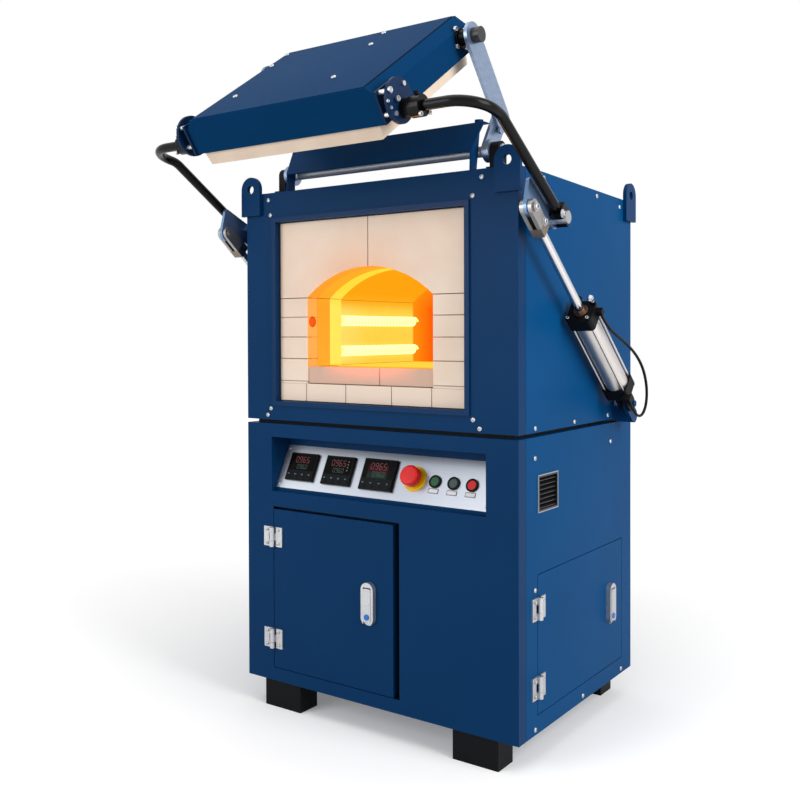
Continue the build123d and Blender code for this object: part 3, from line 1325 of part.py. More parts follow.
# Door shell: a bevelled sheet tray, open on the side that faces the mouth
with BuildPart() as door_shell:
    tray = [
        (-DOOR_HALF, DOOR_SHELL),
        (-DOOR_HALF, DOOR_BEVEL),
        (-DOOR_FACE_HALF, 0),
        (DOOR_FACE_HALF, 0),
        (DOOR_HALF, DOOR_BEVEL),
        (DOOR_HALF, DOOR_SHELL),
    ]
    hollow = [
        (-DOOR_HALF + DOOR_SHEET, DOOR_SHELL + 1),
        (-DOOR_HALF + DOOR_SHEET, DOOR_BEVEL + DOOR_SHEET / 2),
        (-DOOR_FACE_HALF + DOOR_SHEET / 2, DOOR_SHEET),
        (DOOR_FACE_HALF - DOOR_SHEET / 2, DOOR_SHEET),
        (DOOR_HALF - DOOR_SHEET, DOOR_BEVEL + DOOR_SHEET / 2),
        (DOOR_HALF - DOOR_SHEET, DOOR_SHELL + 1),
    ]
    prism(DOOR_END, tray, 0, DOOR_LENGTH)
    prism(DOOR_END, hollow, DOOR_SHEET, DOOR_LENGTH - DOOR_SHEET, mode=Mode.SUBTRACT)
save(door_shell, "door_shell")

# Door insulation: a fibre block that fills the tray and stands proud of it
with BuildPart() as door_insulation:
    core_half = DOOR_FACE_HALF - FIBRE_CORE_MARGIN
    slab(
        DOOR_FACE, -core_half, core_half, FIBRE_EDGE, DOOR_LENGTH - FIBRE_EDGE,
        -DOOR_SHELL, -DOOR_SHEET,
    )
    prism(
        DOOR_END,
        [
            (-FIBRE_HALF, DOOR_SHELL),
            (FIBRE_HALF, DOOR_SHELL),
            (FIBRE_HALF - FIBRE_TAPER, DOOR_FIBRE),
            (-FIBRE_HALF + FIBRE_TAPER, DOOR_FIBRE),
        ],
        FIBRE_EDGE, DOOR_LENGTH - FIBRE_EDGE,
    )
save(door_insulation, "door_insulation")

# Door hubs: a disc on four posts with a boss for each arm tube, a round hub for each rear arm, and the outer
# face's screws
with BuildPart() as door_hubs:
    for across in (-1, 1):
        start = across * DOOR_HALF
        base = [door_point(along, HUB_BASE[2]) for along in HUB_BASE[:2]]
        base += [door_point(along, HUB_BASE[3]) for along in reversed(HUB_BASE[:2])]
        prism(SIDE, base, start, start + across * HUB_BASE_THICK)
        disc_inner = start + across * HUB_INNER
        disc_outer = disc_inner + across * HUB_THICK
        boss_end = disc_outer + across * HUB_BOSS_LENGTH
        drum(SIDE, *door_point(*HUB_CENTRE), HUB_RADIUS, disc_inner, disc_outer)
        drum(SIDE, *RAISED_A, HUB_BOSS_RADIUS, disc_inner, boss_end)
        for post in HUB_POSTS:
            drum(SIDE, *door_point(*post), HUB_POST_RADIUS, start, disc_outer + across * HUB_SCREW_RISE)
        drum(
            SIDE, *RAISED_A, TUBE_RADIUS + RUNNING_FIT, disc_inner - across, boss_end + across,
            mode=Mode.SUBTRACT,
        )
        drum(SIDE, *RAISED_B, REAR_HUB_RADIUS, start, start + across * REAR_HUB_LENGTH)
    for across, along in DOOR_SCREWS:
        with BuildSketch(DOOR_FACE) as head_face:
            with Locations((across, along)):
                Circle(SCREW_RADIUS)
        extrude(head_face.sketch, amount=SCREW_RISE, taper=SCREW_TAPER)
save(door_hubs, "door_hubs")

# Rear arms: a flat bar from the door's rear hub, bolted to a goose-neck on the torque shaft
BAR_INNER = NECK_INNER + NECK_THICK
BAR_OUTER = BAR_INNER + BAR_THICK
with BuildPart() as rear_arms:
    for across in (-1, 1):
        bar(SIDE, TORQUE, BAR_KNEE, NECK_WIDTH, across * NECK_INNER, across * BAR_INNER)
        drum(
            SIDE, *TORQUE, NECK_BOSS_RADIUS, across * NECK_INNER, across * (NECK_INNER + NECK_BOSS_LENGTH),
        )
        drum(
            SIDE, *TORQUE, SHAFT_RADIUS, across * (NECK_INNER - 1),
            across * (NECK_INNER + NECK_BOSS_LENGTH + 1), mode=Mode.SUBTRACT,
        )
        bar(SIDE, RAISED_B, BAR_KNEE, BAR_WIDTH, across * BAR_INNER, across * BAR_OUTER)
        drum(SIDE, *RAISED_B, CAP_RADIUS, across * BAR_OUTER, across * (BAR_OUTER + CAP_LENGTH))
        for place in (BAR_KNEE, towards(BAR_KNEE, TORQUE, BAR_BOLT_PITCH)):
            drum(
                SIDE, *place, BAR_BOLT_RADIUS,
                across * BAR_OUTER, across * (BAR_OUTER + BAR_BOLT_RISE),
            )
save(rear_arms, "rear_arms")

# Torque shaft: a bright round bar across the top of the body
with BuildPart() as torque_shaft:
    drum(SIDE, *TORQUE, SHAFT_RADIUS, -SHAFT_HALF, SHAFT_HALF)
save(torque_shaft, "torque_shaft")

# Cylinders: the axis runs from the fork pin down to the rear pin
FITTING_START = HEAD_START + (HEAD_LENGTH - FITTING_SIZE) / 2
for title, across in (("left", -1), ("right", 1)):
    axis = Plane(
        origin=(across * CYLINDER_PLANE, *FORK_PIN),
        x_dir=(1, 0, 0),
        z_dir=(0, *AXIS_DIRECTION),
    )
    pin_centre = across * CYLINDER_PLANE

    # Barrel: a bright tube with four tie rods between the heads
    with BuildPart() as barrel:
        drum(
            axis, 0, 0, BARREL_TUBE_RADIUS, HEAD_START + HEAD_LENGTH, REAR_HEAD_END - HEAD_LENGTH,
            bore=BARREL_TUBE_RADIUS - BARREL_TUBE_WALL,
        )
        for side in (-1, 1):
            for rise in (-1, 1):
                drum(
                    axis, side * TIE_ROD_OFFSET, rise * TIE_ROD_OFFSET, TIE_ROD_RADIUS,
                    HEAD_START + HEAD_LENGTH, REAR_HEAD_END - HEAD_LENGTH,
                )
    save(barrel, title + "_cylinder_barrel")

    # Heads: square end blocks with nuts, the rear fork and an elbow on the front head
    with BuildPart() as heads:
        for start in (HEAD_START, REAR_HEAD_END - HEAD_LENGTH):
            with BuildSketch(axis.offset(start)) as head_face:
                RectangleRounded(HEAD_SIZE, HEAD_SIZE, HEAD_ROUND)
            extrude(head_face.sketch, amount=HEAD_LENGTH)
        drum(
            axis, 0, 0, ROD_RADIUS + ROD_FIT, HEAD_START - 1, HEAD_START + HEAD_LENGTH + 1,
            mode=Mode.SUBTRACT,
        )
        for side in (-1, 1):
            for rise in (-1, 1):
                for start in (HEAD_START - TIE_NUT_RISE, REAR_HEAD_END):
                    drum(
                        axis, side * TIE_ROD_OFFSET, rise * TIE_ROD_OFFSET, TIE_NUT_RADIUS,
                        start, start + TIE_NUT_RISE,
                    )
        ear_inner = TONGUE_THICK / 2 + EAR_GAP
        for side in (-1, 1):
            slab(
                axis, side * ear_inner, side * (ear_inner + REAR_EAR_THICK),
                -EAR_RADIUS, EAR_RADIUS, REAR_HEAD_END, AXIS_LENGTH,
            )
            drum(
                SIDE, *REAR_PIN, EAR_RADIUS,
                pin_centre + side * ear_inner, pin_centre + side * (ear_inner + REAR_EAR_THICK),
            )
        slab(
            axis, -ear_inner - REAR_EAR_THICK, ear_inner + REAR_EAR_THICK, -EAR_RADIUS, EAR_RADIUS,
            REAR_HEAD_END, REAR_HEAD_END + REAR_EAR_BASE,
        )
        drum(
            SIDE, *REAR_PIN, PIN_RADIUS + ROD_FIT, pin_centre - HEAD_SIZE, pin_centre + HEAD_SIZE,
            mode=Mode.SUBTRACT,
        )
        hose_plane = across * (HEAD_SIZE / 2 + HOSE_OUT)
        slab(
            axis, across * HEAD_SIZE / 2, across * (HEAD_SIZE / 2 + FITTING_SIZE),
            FITTING_OUT - FITTING_SIZE / 2, FITTING_OUT + FITTING_SIZE / 2,
            FITTING_START, FITTING_START + FITTING_SIZE,
        )
        slab(
            axis, hose_plane - across * (HOSE_OUT + FITTING_SIZE / 2), hose_plane + across * FITTING_SIZE / 2,
            HEAD_SIZE / 2, RETURN_OUT + FITTING_SIZE / 2, *RETURN_FITTING,
        )
    save(heads, title + "_cylinder_heads")

    # Hose: from the fitting on the front head, over the barrel and round the rear pin, to the rear head
    hose_start = (FITTING_START + FITTING_SIZE, FITTING_OUT)
    hose_end = (RETURN_FITTING[1], RETURN_OUT)
    hose_points = [hose_start] + HOSE_ROUTE + [hose_end]
    hose_path = [axis.from_local_coords((hose_plane, out, along)) for along, out in hose_points]
    hose_radii = bend_radii(hose_path)
    print(title, "hose radii", [round(radius) for radius in hose_radii])
    with BuildPart() as hose:
        with BuildLine() as route:
            FilletPolyline(*hose_path, radius=hose_radii)
        with BuildSketch(Plane(origin=hose_path[0], z_dir=hose_path[1] - hose_path[0])) as section:
            Circle(HOSE_RADIUS)
        sweep(section.sketch, path=route.wires()[0])
    save(hose, title + "_cylinder_hose")

    # Rod: piston, rod and the fork that straddles the crank plate
    with BuildPart() as rod:
        drum(axis, 0, 0, ROD_RADIUS, FORK_BASE_END, HEAD_START + HEAD_LENGTH + PISTON_INSET)
        drum(
            axis, 0, 0, BARREL_TUBE_RADIUS - BARREL_TUBE_WALL - PISTON_GAP,
            HEAD_START + HEAD_LENGTH + PISTON_INSET, HEAD_START + HEAD_LENGTH + PISTON_INSET + PISTON_THICK,
        )
        ear_inner = CRANK_THICK / 2 + EAR_GAP
        slab(
            axis, -ear_inner - EAR_THICK, ear_inner + EAR_THICK, -FORK_EAR_RADIUS, FORK_EAR_RADIUS,
            FORK_BASE_START, FORK_BASE_END,
        )
        for side in (-1, 1):
            slab(
                axis, side * ear_inner, side * (ear_inner + EAR_THICK), -FORK_EAR_RADIUS, FORK_EAR_RADIUS,
                0, FORK_BASE_START,
            )
            drum(
                SIDE, *FORK_PIN, FORK_EAR_RADIUS,
                pin_centre + side * ear_inner, pin_centre + side * (ear_inner + EAR_THICK),
            )
            drum(
                SIDE, *FORK_PIN, PIN_RADIUS,
                pin_centre + side * (ear_inner + EAR_THICK),
                pin_centre + side * (ear_inner + EAR_THICK + PIN_HEAD),
            )
    save(rod, title + "_cylinder_rod")
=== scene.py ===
import bpy
import bmesh
import math
from mathutils import Matrix, Vector


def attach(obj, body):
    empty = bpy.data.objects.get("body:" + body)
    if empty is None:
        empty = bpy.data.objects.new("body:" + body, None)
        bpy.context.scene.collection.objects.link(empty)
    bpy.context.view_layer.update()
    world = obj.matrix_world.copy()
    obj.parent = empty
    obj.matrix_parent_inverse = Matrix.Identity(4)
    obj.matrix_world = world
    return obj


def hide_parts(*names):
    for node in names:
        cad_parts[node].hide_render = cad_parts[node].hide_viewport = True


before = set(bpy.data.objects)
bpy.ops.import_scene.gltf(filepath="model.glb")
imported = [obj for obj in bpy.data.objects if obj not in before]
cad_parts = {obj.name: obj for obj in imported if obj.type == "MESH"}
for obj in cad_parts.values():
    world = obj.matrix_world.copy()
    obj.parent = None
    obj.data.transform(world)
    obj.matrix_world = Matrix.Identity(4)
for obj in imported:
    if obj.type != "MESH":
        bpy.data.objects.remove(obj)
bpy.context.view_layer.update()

# Camera: it stands to the right of the furnace at about the height of the muffle, a little below level.
# The focal length is in widths of the square picture, and the optical centre lies above the middle of it.
camera_place = Vector((1.39107, -1.83602, 0.96155))
camera_yaw = math.radians(35.348)
camera_pitch = math.radians(-0.731)
camera_roll = math.radians(-0.164)
focal_widths = 969.5 / 800
optical_centre_up = (400 - 345.2) / 800

camera_data = bpy.data.cameras.new("photo_camera")
camera_data.sensor_width = 36
camera_data.lens = 36 * focal_widths
camera_data.shift_y = -optical_centre_up
camera = bpy.data.objects.new("photo_camera", camera_data)
bpy.context.scene.collection.objects.link(camera)
forward = Vector((
    -math.sin(camera_yaw) * math.cos(camera_pitch),
    math.cos(camera_yaw) * math.cos(camera_pitch),
    math.sin(camera_pitch),
))
level_right = forward.cross(Vector((0, 0, 1))).normalized()
level_up = level_right.cross(forward)
right = level_right * math.cos(camera_roll) + level_up * math.sin(camera_roll)
up = right.cross(forward)
turn = Matrix((right, up, -forward)).transposed()
camera.matrix_world = Matrix.Translation(camera_place) @ turn.to_4x4()
bpy.context.scene.camera = camera


# Feet and spacer rails: folded steel stands and rails in satin black enamel, screwed under the cabinet and
# under the furnace body. Their shader is the first of the file, so the two classes that write shader maths
# stand here.
class Wire:
    """A socket of a material that takes part in sums like a number."""

    def __init__(self, finish, socket):
        self.finish = finish
        self.socket = socket

    def joined(self, operation, first, second):
        return self.finish.node("ShaderNodeMath", {"operation": operation}, {0: first, 1: second})

    def __add__(self, other):
        return self.joined("ADD", self, other)

    def __radd__(self, other):
        return self.joined("ADD", other, self)

    def __sub__(self, other):
        return self.joined("SUBTRACT", self, other)

    def __rsub__(self, other):
        return self.joined("SUBTRACT", other, self)

    def __mul__(self, other):
        return self.joined("MULTIPLY", self, other)

    def __rmul__(self, other):
        return self.joined("MULTIPLY", other, self)

    def __truediv__(self, other):
        return self.joined("DIVIDE", self, other)

    def __pow__(self, other):
        return self.joined("POWER", self, other)

    def __abs__(self):
        return self.joined("ABSOLUTE", self, 0.0)

    def clamped(self):
        return self.joined("MINIMUM", self.joined("MAXIMUM", self, 0.0), 1.0)

    def ramp(self, low, high):
        """Rises from 0 to 1 between two values."""
        return ((self - low) / (high - low)).clamped()

    def above(self, value):
        return self.joined("GREATER_THAN", self, value)

    def below(self, value):
        return self.joined("LESS_THAN", self, value)

    def within(self, low, high):
        """1 between two values and 0 outside them."""
        return self.above(low) * self.below(high)

    def line(self, middle, half_width):
        """1 on a thin line at one value, falling to 0 at its edges."""
        return 1 - (abs(self - middle) / half_width).clamped()


class Finish:
    """One material: its node tree and its Principled shader."""

    def __init__(self, name, **constants):
        self.material = bpy.data.materials.new(name)
        self.material.use_nodes = True
        self.tree = self.material.node_tree
        self.shader = self.tree.nodes["Principled BSDF"]
        for socket, value in constants.items():
            self.shader.inputs[socket.replace("_", " ")].default_value = value

    def feed(self, socket, value):
        if isinstance(value, Wire):
            self.tree.links.new(value.socket, socket)
        else:
            socket.default_value = value

    def node(self, kind, settings=None, sockets=None, out=0):
        made = self.tree.nodes.new(kind)
        for key, value in (settings or {}).items():
            setattr(made, key, value)
        for key, value in (sockets or {}).items():
            self.feed(made.inputs[key], value)
        return Wire(self, made.outputs[out])

    def place(self):
        """The point on the piece, in metres, as it stands at rest."""
        return self.node("ShaderNodeTexCoord", out="Object")

    def axis(self, name):
        """One coordinate of the point on the piece."""
        return self.node("ShaderNodeSeparateXYZ", sockets={0: self.place()}, out=name)

    def stretched(self, scale):
        return self.node("ShaderNodeMapping", sockets={"Vector": self.place(), "Scale": scale})

    def noise(self, scale, detail=3.0, stretch=(1, 1, 1), roughness=0.5):
        return self.node(
            "ShaderNodeTexNoise", {},
            {"Vector": self.stretched(stretch), "Scale": scale, "Detail": detail, "Roughness": roughness},
        )

    def mix(self, factor, first, second):
        """Mixes two colours."""
        return self.node(
            "ShaderNodeMix", {"data_type": "RGBA"}, {0: factor, 6: first, 7: second}, out=2,
        )

    def bump(self, height, strength, distance):
        sockets = {"Strength": strength, "Distance": distance, "Height": height}
        normal = self.node("ShaderNodeBump", {}, sockets)
        self.feed(self.shader.inputs["Normal"], normal)

    def set(self, socket, value):
        self.feed(self.shader.inputs[socket], value)


def srgb(red, green, blue):
    """Turns a picture colour of 0 to 255 into a shader colour."""
    def linear(value):
        share = value / 255
        return share / 12.92 if share <= 0.04045 else ((share + 0.055) / 1.055) ** 2.4
    return (linear(red), linear(green), linear(blue), 1.0)


def coated(name, colour, clouded, roughness, gloss):
    """A powder coat: fine orange peel and faint clouding."""
    coat = Finish(name, Roughness=roughness, Specular_IOR_Level=gloss)
    cloud = coat.noise(3.0, detail=4.0).ramp(0.3, 0.7)
    coat.set("Base Color", coat.mix(cloud * 0.6, colour, clouded))
    coat.set("Roughness", roughness + coat.noise(60.0, detail=2.0) * 0.08)
    coat.bump(coat.noise(900.0, detail=2.0), 0.1, 0.0002)
    return coat.material


def wear(material, *nodes):
    """Gives CAD nodes their material."""
    for node in nodes:
        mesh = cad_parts[node].data
        mesh.materials.clear()
        mesh.materials.append(material)


satin_black = coated("satin_black_enamel", srgb(9, 10, 13), srgb(15, 16, 19), 0.42, 0.08)
wear(satin_black, "feet", "spacer_rails")

# Cabinet and furnace body: folded mild steel sheets in deep blue powder coat, joined with thin seams. The
# side sheets and the rear are given a slightly lighter blue than the front, though the coat is one paint:
# painted light, for the stronger light that falls on them.
blue_front = coated("blue_powder_coat_front", srgb(4, 49, 90), srgb(6, 54, 98), 0.34, 0.05)
# Painted light: a lighter copy of the front's blue for the sides and rear, which stand in more light.
blue_side_painted_light = coated("blue_powder_coat_side_painted_light", srgb(4, 66, 114), srgb(7, 74, 126), 0.3, 0.02)
wear(
    blue_front, "cabinet_front", "control_recess", "front_door_leaf", "body_front", "lifting_lugs",
    "cross_beam",
)
wear(blue_side_painted_light, "cabinet_shell", "cabinet_right_side", "side_door_leaf", "body_panels")

# Mouth trim: a raised steel flange round the opening, in the same blue. A thin dark rope between it and the
# bricks stands for the shadow in the gap there: painted shade.
blue_trim = coated("blue_powder_coat_trim", srgb(5, 46, 86), srgb(8, 52, 94), 0.28, 0.08)
wear(blue_trim, "mouth_trim")
mouth_left, mouth_right, mouth_low, mouth_high = -0.296, 0.266, 0.789, 1.243
shade_rope_radius = 0.0016
shade_rope_face = 0.0115


def linked(name, mesh, material, body):
    piece = bpy.data.objects.new(name, mesh)
    bpy.context.scene.collection.objects.link(piece)
    mesh.materials.append(material)
    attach(piece, body)
    return piece


def roped(name, points, radius, material, body, closed=False):
    """Bends a round rod or rope along straight runs with small rounded corners."""
    curve = bpy.data.curves.new(name, "CURVE")
    curve.dimensions = "3D"
    line = curve.splines.new("POLY")
    line.points.add(len(points) - 1)
    for point, place in zip(line.points, points):
        point.co = (*place, 1)
    line.use_cyclic_u = closed
    curve.bevel_depth = radius
    curve.bevel_resolution = 3
    return linked(name, curve, material, body)


# Painted shade: the rope's near-black colour stands for the shadow in the gap between trim and bricks.
gap_shade_rope = Finish("painted_gap_shade", Roughness=0.9)
gap_shade_rope.set("Base Color", gap_shade_rope.mix(gap_shade_rope.noise(300.0), srgb(22, 20, 22), srgb(48, 40, 36)))
gap_shade_rope.bump(gap_shade_rope.noise(1500.0, stretch=(1, 1, 0.3)), 0.4, 0.0004)
inset = shade_rope_radius * 0.9
roped(
    "mouth_gap_shade_rope",
    [
        (mouth_left + inset, shade_rope_face, mouth_low + inset),
        (mouth_right - inset, shade_rope_face, mouth_low + inset),
        (mouth_right - inset, shade_rope_face, mouth_high - inset),
        (mouth_left + inset, shade_rope_face, mouth_high - inset),
    ],
    shade_rope_radius, gap_shade_rope.material, "casing", closed=True,
)


# Casing screws: zinc-plated pan heads with a cross recess, in the seams of the casing and at the corners of
# the mouth and of the control panel.
def brushed(name, colour, darker, stretch, roughness, metal=0.85):
    steel = Finish(name, Metallic=metal)
    streaks = steel.noise(6.0, detail=6.0, stretch=stretch, roughness=0.7)
    steel.set("Base Color", steel.mix(streaks, darker, colour))
    steel.set("Roughness", roughness + streaks * 0.14)
    steel.bump(streaks, 0.05, 0.0002)
    return steel.material


def cross_outline(reach, half_width):
    """The outline of a cross recess, as a radius for each angle."""
    def radius(angle):
        off = abs((angle + math.pi / 4) % (math.pi / 2) - math.pi / 4)
        flat = math.tan(off) <= half_width / reach
        return reach / math.cos(off) if flat else half_width / math.sin(off)
    return radius


def hexagon_outline(half_width):
    """The outline of a hexagon, as a radius for each angle."""
    def radius(angle):
        off = (angle + math.pi / 6) % (math.pi / 3) - math.pi / 6
        return half_width / math.cos(off)
    return radius


def skinned(shape, loops):
    """Lays faces between each loop of points and the next one."""
    for low, high in zip(loops[:-1], loops[1:]):
        for side in range(len(low)):
            after = (side + 1) % len(low)
            shape.faces.new((low[side], low[after], high[after], high[side]))


def turned(name, places, rings, material, body, sides=48):
    """Turns small round parts: each ring is a radius or an outline, and its height above what carries it."""
    mesh = bpy.data.meshes.new(name)
    shape = bmesh.new()
    for point, out in places:
        out = Vector(out).normalized()
        aside = out.orthogonal().normalized()
        over = out.cross(aside)
        loops = []
        for outline, height in rings:
            loop = []
            for step in range(sides):
                angle = 2 * math.pi * step / sides
                radius = outline(angle) if callable(outline) else outline
                spoke = aside * math.cos(angle) + over * math.sin(angle)
                loop.append(shape.verts.new(Vector(point) + out * height + spoke * radius))
            loops.append(loop)
        skinned(shape, loops)
        shape.faces.new(loops[-1])
        shape.faces.new(loops[0][::-1])
    for face in shape.faces:
        face.smooth = True
    shape.to_mesh(mesh)
    shape.free()
    mesh.set_sharp_from_angle(angle=math.radians(38))
    return linked(name, mesh, material, body)


def pan_head(size):
    """A pan head with a cross recess, for a head of this radius."""
    return [
        (size * 0.97, 0), (size, size * 0.12), (size * 0.93, size * 0.38), (size * 0.74, size * 0.56),
        (cross_outline(size * 0.58, size * 0.13), size * 0.62),
        (cross_outline(size * 0.5, size * 0.1), size * 0.3),
    ]


def socket_head(size, height):
    """A cap screw's head with a hexagon socket."""
    return [
        (size * 0.97, 0), (size, size * 0.08), (size, height * 0.88), (size * 0.9, height),
        (size * 0.64, height),
        (hexagon_outline(size * 0.5), height * 0.94), (hexagon_outline(size * 0.48), height * 0.4),
    ]


bright_zinc = brushed("bright_zinc", srgb(206, 207, 210), srgb(150, 152, 156), (30, 30, 30), 0.3)
half_width = 0.399
to_front, to_right = (0, -1, 0), (1, 0, 0)
front_screws = [
    (-0.323, 1.302), (0.309, 1.302), (-0.327, 0.752), (0.303, 0.750),
    (-0.316, 0.769), (0.286, 0.769), (-0.316, 1.263), (0.286, 1.263),
]
side_screws = [
    (0.075, 0.750), (0.275, 0.750), (0.470, 0.752), (0.118, 1.306), (0.404, 1.298), (0.546, 1.286),
    (0.074, 0.684), (0.487, 0.684), (0.074, 0.392), (0.074, 0.083), (0.321, 0.083), (0.554, 0.083),
]
panel_tilt = math.radians(26)
panel_low = Vector((0, 0.016, 0.5655))
panel_up = Vector((0, math.sin(panel_tilt), math.cos(panel_tilt)))
panel_out = Vector((0, -math.cos(panel_tilt), math.sin(panel_tilt)))


def on_panel(x, up_slope, out=0.0):
    return panel_low + panel_up * up_slope + panel_out * out + Vector((x, 0, 0))


screw_places = [((x, 0, z), to_front) for x, z in front_screws]
screw_places += [((half_width, y, z), to_right) for y, z in side_screws]
panel_places = [(on_panel(x, slope), panel_out) for x in (-0.308, 0.308) for slope in (0.009, 0.1066)]
heads = turned("casing_screw_heads", screw_places, pan_head(0.0056), bright_zinc, "casing")
panel_heads = turned("panel_screw_heads", panel_places, pan_head(0.0036), bright_zinc, "casing")
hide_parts("casing_screws")
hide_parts("casing_screws")

# Louvre: black-painted slats behind a thin bright frame let the cabinet's heat out of the right side.
louvre = Finish("louvre_slats")
vent_front, vent_back, vent_low, vent_high = 0.087, 0.186, 0.561, 0.645
rim_width = 0.0022
louvre_y, louvre_z = louvre.axis("Y"), louvre.axis("Z")
inner = louvre_y.within(vent_front + rim_width, vent_back - rim_width) * louvre_z.within(
    vent_low + rim_width, vent_high - rim_width)
slat_black = louvre.mix(louvre.noise(80.0), srgb(6, 7, 9), srgb(14, 15, 18))
louvre.set("Base Color", louvre.mix(inner, srgb(150, 160, 172), slat_black))
louvre.set("Roughness", 0.35 + louvre.noise(200.0) * 0.1)
louvre.set("Metallic", (1 - inner) * 0.7)
louvre.bump(louvre.noise(900.0), 0.08, 0.0002)
wear(louvre.material, "vent_grille")

# Control panel: a brushed stainless plate in the sloped recess. Its colour is painted pale at the left end,
# darkest around the middle and lighter again towards the right end: painted shade. Fine streaks run from
# left to right.
panel_steel = Finish("brushed_panel_steel", Metallic=0.85)
panel_streaks = panel_steel.noise(6.0, detail=6.0, stretch=(0.6, 120, 120), roughness=0.7)
# Painted shade: pale at the left, darkest near the middle, partly pale again at the right.
panel_painted_shade = panel_steel.axis("X").ramp(-0.30, 0.02) * (1 - panel_steel.axis("X").ramp(0.10, 0.34) * 0.5)
panel_painted_lit = panel_steel.mix(panel_streaks, srgb(168, 174, 182), srgb(196, 201, 208))
panel_painted_dark = panel_steel.mix(panel_streaks, srgb(134, 140, 150), srgb(160, 165, 174))
panel_steel.set("Base Color", panel_steel.mix(panel_painted_shade, panel_painted_lit, panel_painted_dark))
panel_steel.set("Roughness", 0.32 + panel_streaks * 0.14)
panel_steel.bump(panel_streaks, 0.05, 0.0002)
wear(panel_steel.material, "control_panel")


# Controllers: moulded black housings with a smooth dark window, grey membrane keys with small pictograms,
# and dimly lit seven-segment digits behind the window: red above and green below.
def moulded(name, colour, roughness, grain=1400.0, depth=0.08, gloss=0.4):
    plastic = Finish(name, Roughness=roughness, Specular_IOR_Level=gloss)
    shade = [channel * 0.82 for channel in colour[:3]] + [1]
    plastic.set("Base Color", plastic.mix(plastic.noise(25.0).ramp(0.35, 0.7), colour, shade))
    plastic.bump(plastic.noise(grain, detail=1.0), depth, 0.0002)
    return plastic.material


black_moulding = moulded("black_moulding", srgb(12, 14, 17), 0.35, gloss=0.07)
wear(black_moulding, "controllers", "switch_bezels")
key_black = moulded("key_membrane", srgb(17, 20, 25), 0.5, gloss=0.08)
wear(key_black, "controller_keys")
grey_moulding = moulded("grey_moulding", srgb(120, 122, 126), 0.45)
wear(grey_moulding, "switchgear")

controller_frames = [
    (-0.289, 0.021, 0.089, 0.073), (-0.171, 0.020, 0.089, 0.0745), (-0.051, 0.018, 0.0975, 0.0785),
]
bezel_rim = 0.005
window_share = 0.66
window_rise = 0.0102
key_rise = 0.0106
pane = Finish("dark_window_pane", Roughness=0.12, Specular_IOR_Level=0.05)
pane_x, pane_z = pane.axis("X"), pane.axis("Z")
third_left, third_low, third_wide, third_high = controller_frames[2]
in_third = pane_x.within(third_left + 0.018, third_left + third_wide - 0.020)
pane_top = on_panel(0, third_low + third_high - 0.012).z
pane_middle = on_panel(0, third_low + third_high - 0.031).z
pane_bottom = on_panel(0, third_low + third_high - 0.048).z
red_band = in_third * pane_z.within(pane_middle, pane_top)
green_band = in_third * pane_z.within(pane_bottom, pane_middle)
tinted = pane.mix(red_band, srgb(9, 8, 10), srgb(58, 20, 26))
pane.set("Base Color", pane.mix(green_band, tinted, srgb(24, 46, 42)))
pane.bump(pane.noise(200.0, detail=1.0), 0.01, 0.0002)
wear(pane.material, "controller_windows")


def lit(name, colour, strength):
    glow = Finish(name, Base_Color=colour, Roughness=0.4, Emission_Color=colour, Emission_Strength=strength)
    shade = [channel * 0.8 for channel in colour[:3]] + [1]
    glow.set("Emission Color", glow.mix(glow.noise(400.0), colour, shade))
    return glow.material


digit_segments = {
    "0": "abcdef", "1": "bc", "2": "abged", "3": "abgcd", "4": "fgbc", "5": "afgcd",
    "6": "afgedc", "7": "abc", "8": "abcdefg", "9": "abfgcd",
}
segment_places = {
    "a": (0, 1, 1, 0), "g": (0, 0, 1, 0), "d": (0, -1, 1, 0),
    "f": (-1, 0.5, 0, 1), "b": (1, 0.5, 0, 1), "e": (-1, -0.5, 0, 1), "c": (1, -0.5, 0, 1),
}


def bars(name, rectangles, material):
    """Lays thin bars on the panel's instruments: each is a middle, half sizes and a height off the panel."""
    mesh = bpy.data.meshes.new(name)
    shape = bmesh.new()
    for x, slope, half_x, half_slope, rise in rectangles:
        loops = []
        for out, grow in ((rise, 1.0), (rise + 0.0002, 1.0), (rise + 0.0003, 0.8)):
            corners = ((-1, -1), (1, -1), (1, 1), (-1, 1))
            loops.append([
                shape.verts.new(on_panel(x + dx * half_x * grow, slope + du * half_slope * grow, out))
                for dx, du in corners
            ])
        skinned(shape, loops)
        shape.faces.new(loops[-1])
    shape.to_mesh(mesh)
    shape.free()
    return linked(name, mesh, material, "casing")


def digit_bars(text, left, slope, height):
    """The bars of a row of seven-segment digits."""
    rectangles = []
    thick = height * 0.055
    for index, digit in enumerate(text):
        middle = left + (index + 0.5) * height * 0.8
        for segment in digit_segments[digit]:
            across, rise, flat, tall = segment_places[segment]
            rectangles.append((
                middle + across * height * 0.25, slope + rise * height / 2,
                height * 0.19 if flat else thick, height * 0.2 if tall else thick, window_rise,
            ))
    return rectangles


upper_bars, lower_bars, legend_bars, lamp_bars = [], [], [], []
for index, (left, low, wide, high) in enumerate(controller_frames):
    top = low + high - bezel_rim
    upper_bars += digit_bars("0965", left + wide * 0.24, top - high * 0.19, high * 0.2)
    lower_bars += digit_bars("0960", left + wide * 0.34, top - high * 0.44, high * 0.15)
    key_line = low + bezel_rim + (high - 2 * bezel_rim) * (1 - window_share) / 2
    for key in range(4):
        middle = left + wide * (key + 0.5) / 4
        legend_bars.append((middle - 0.002, key_line + 0.0006, 0.0014, 0.0005, key_rise))
        legend_bars.append((middle + 0.0015, key_line + 0.0006, 0.0010, 0.0005, key_rise))
        legend_bars.append((middle, key_line - 0.0012, 0.0026, 0.00035, key_rise))
    if index == 1:
        for row in range(4):
            lamp_slope = top - high * (0.12 + 0.1 * row)
            lamp_bars.append((left + wide * 0.84, lamp_slope, 0.0012, 0.0009, window_rise))
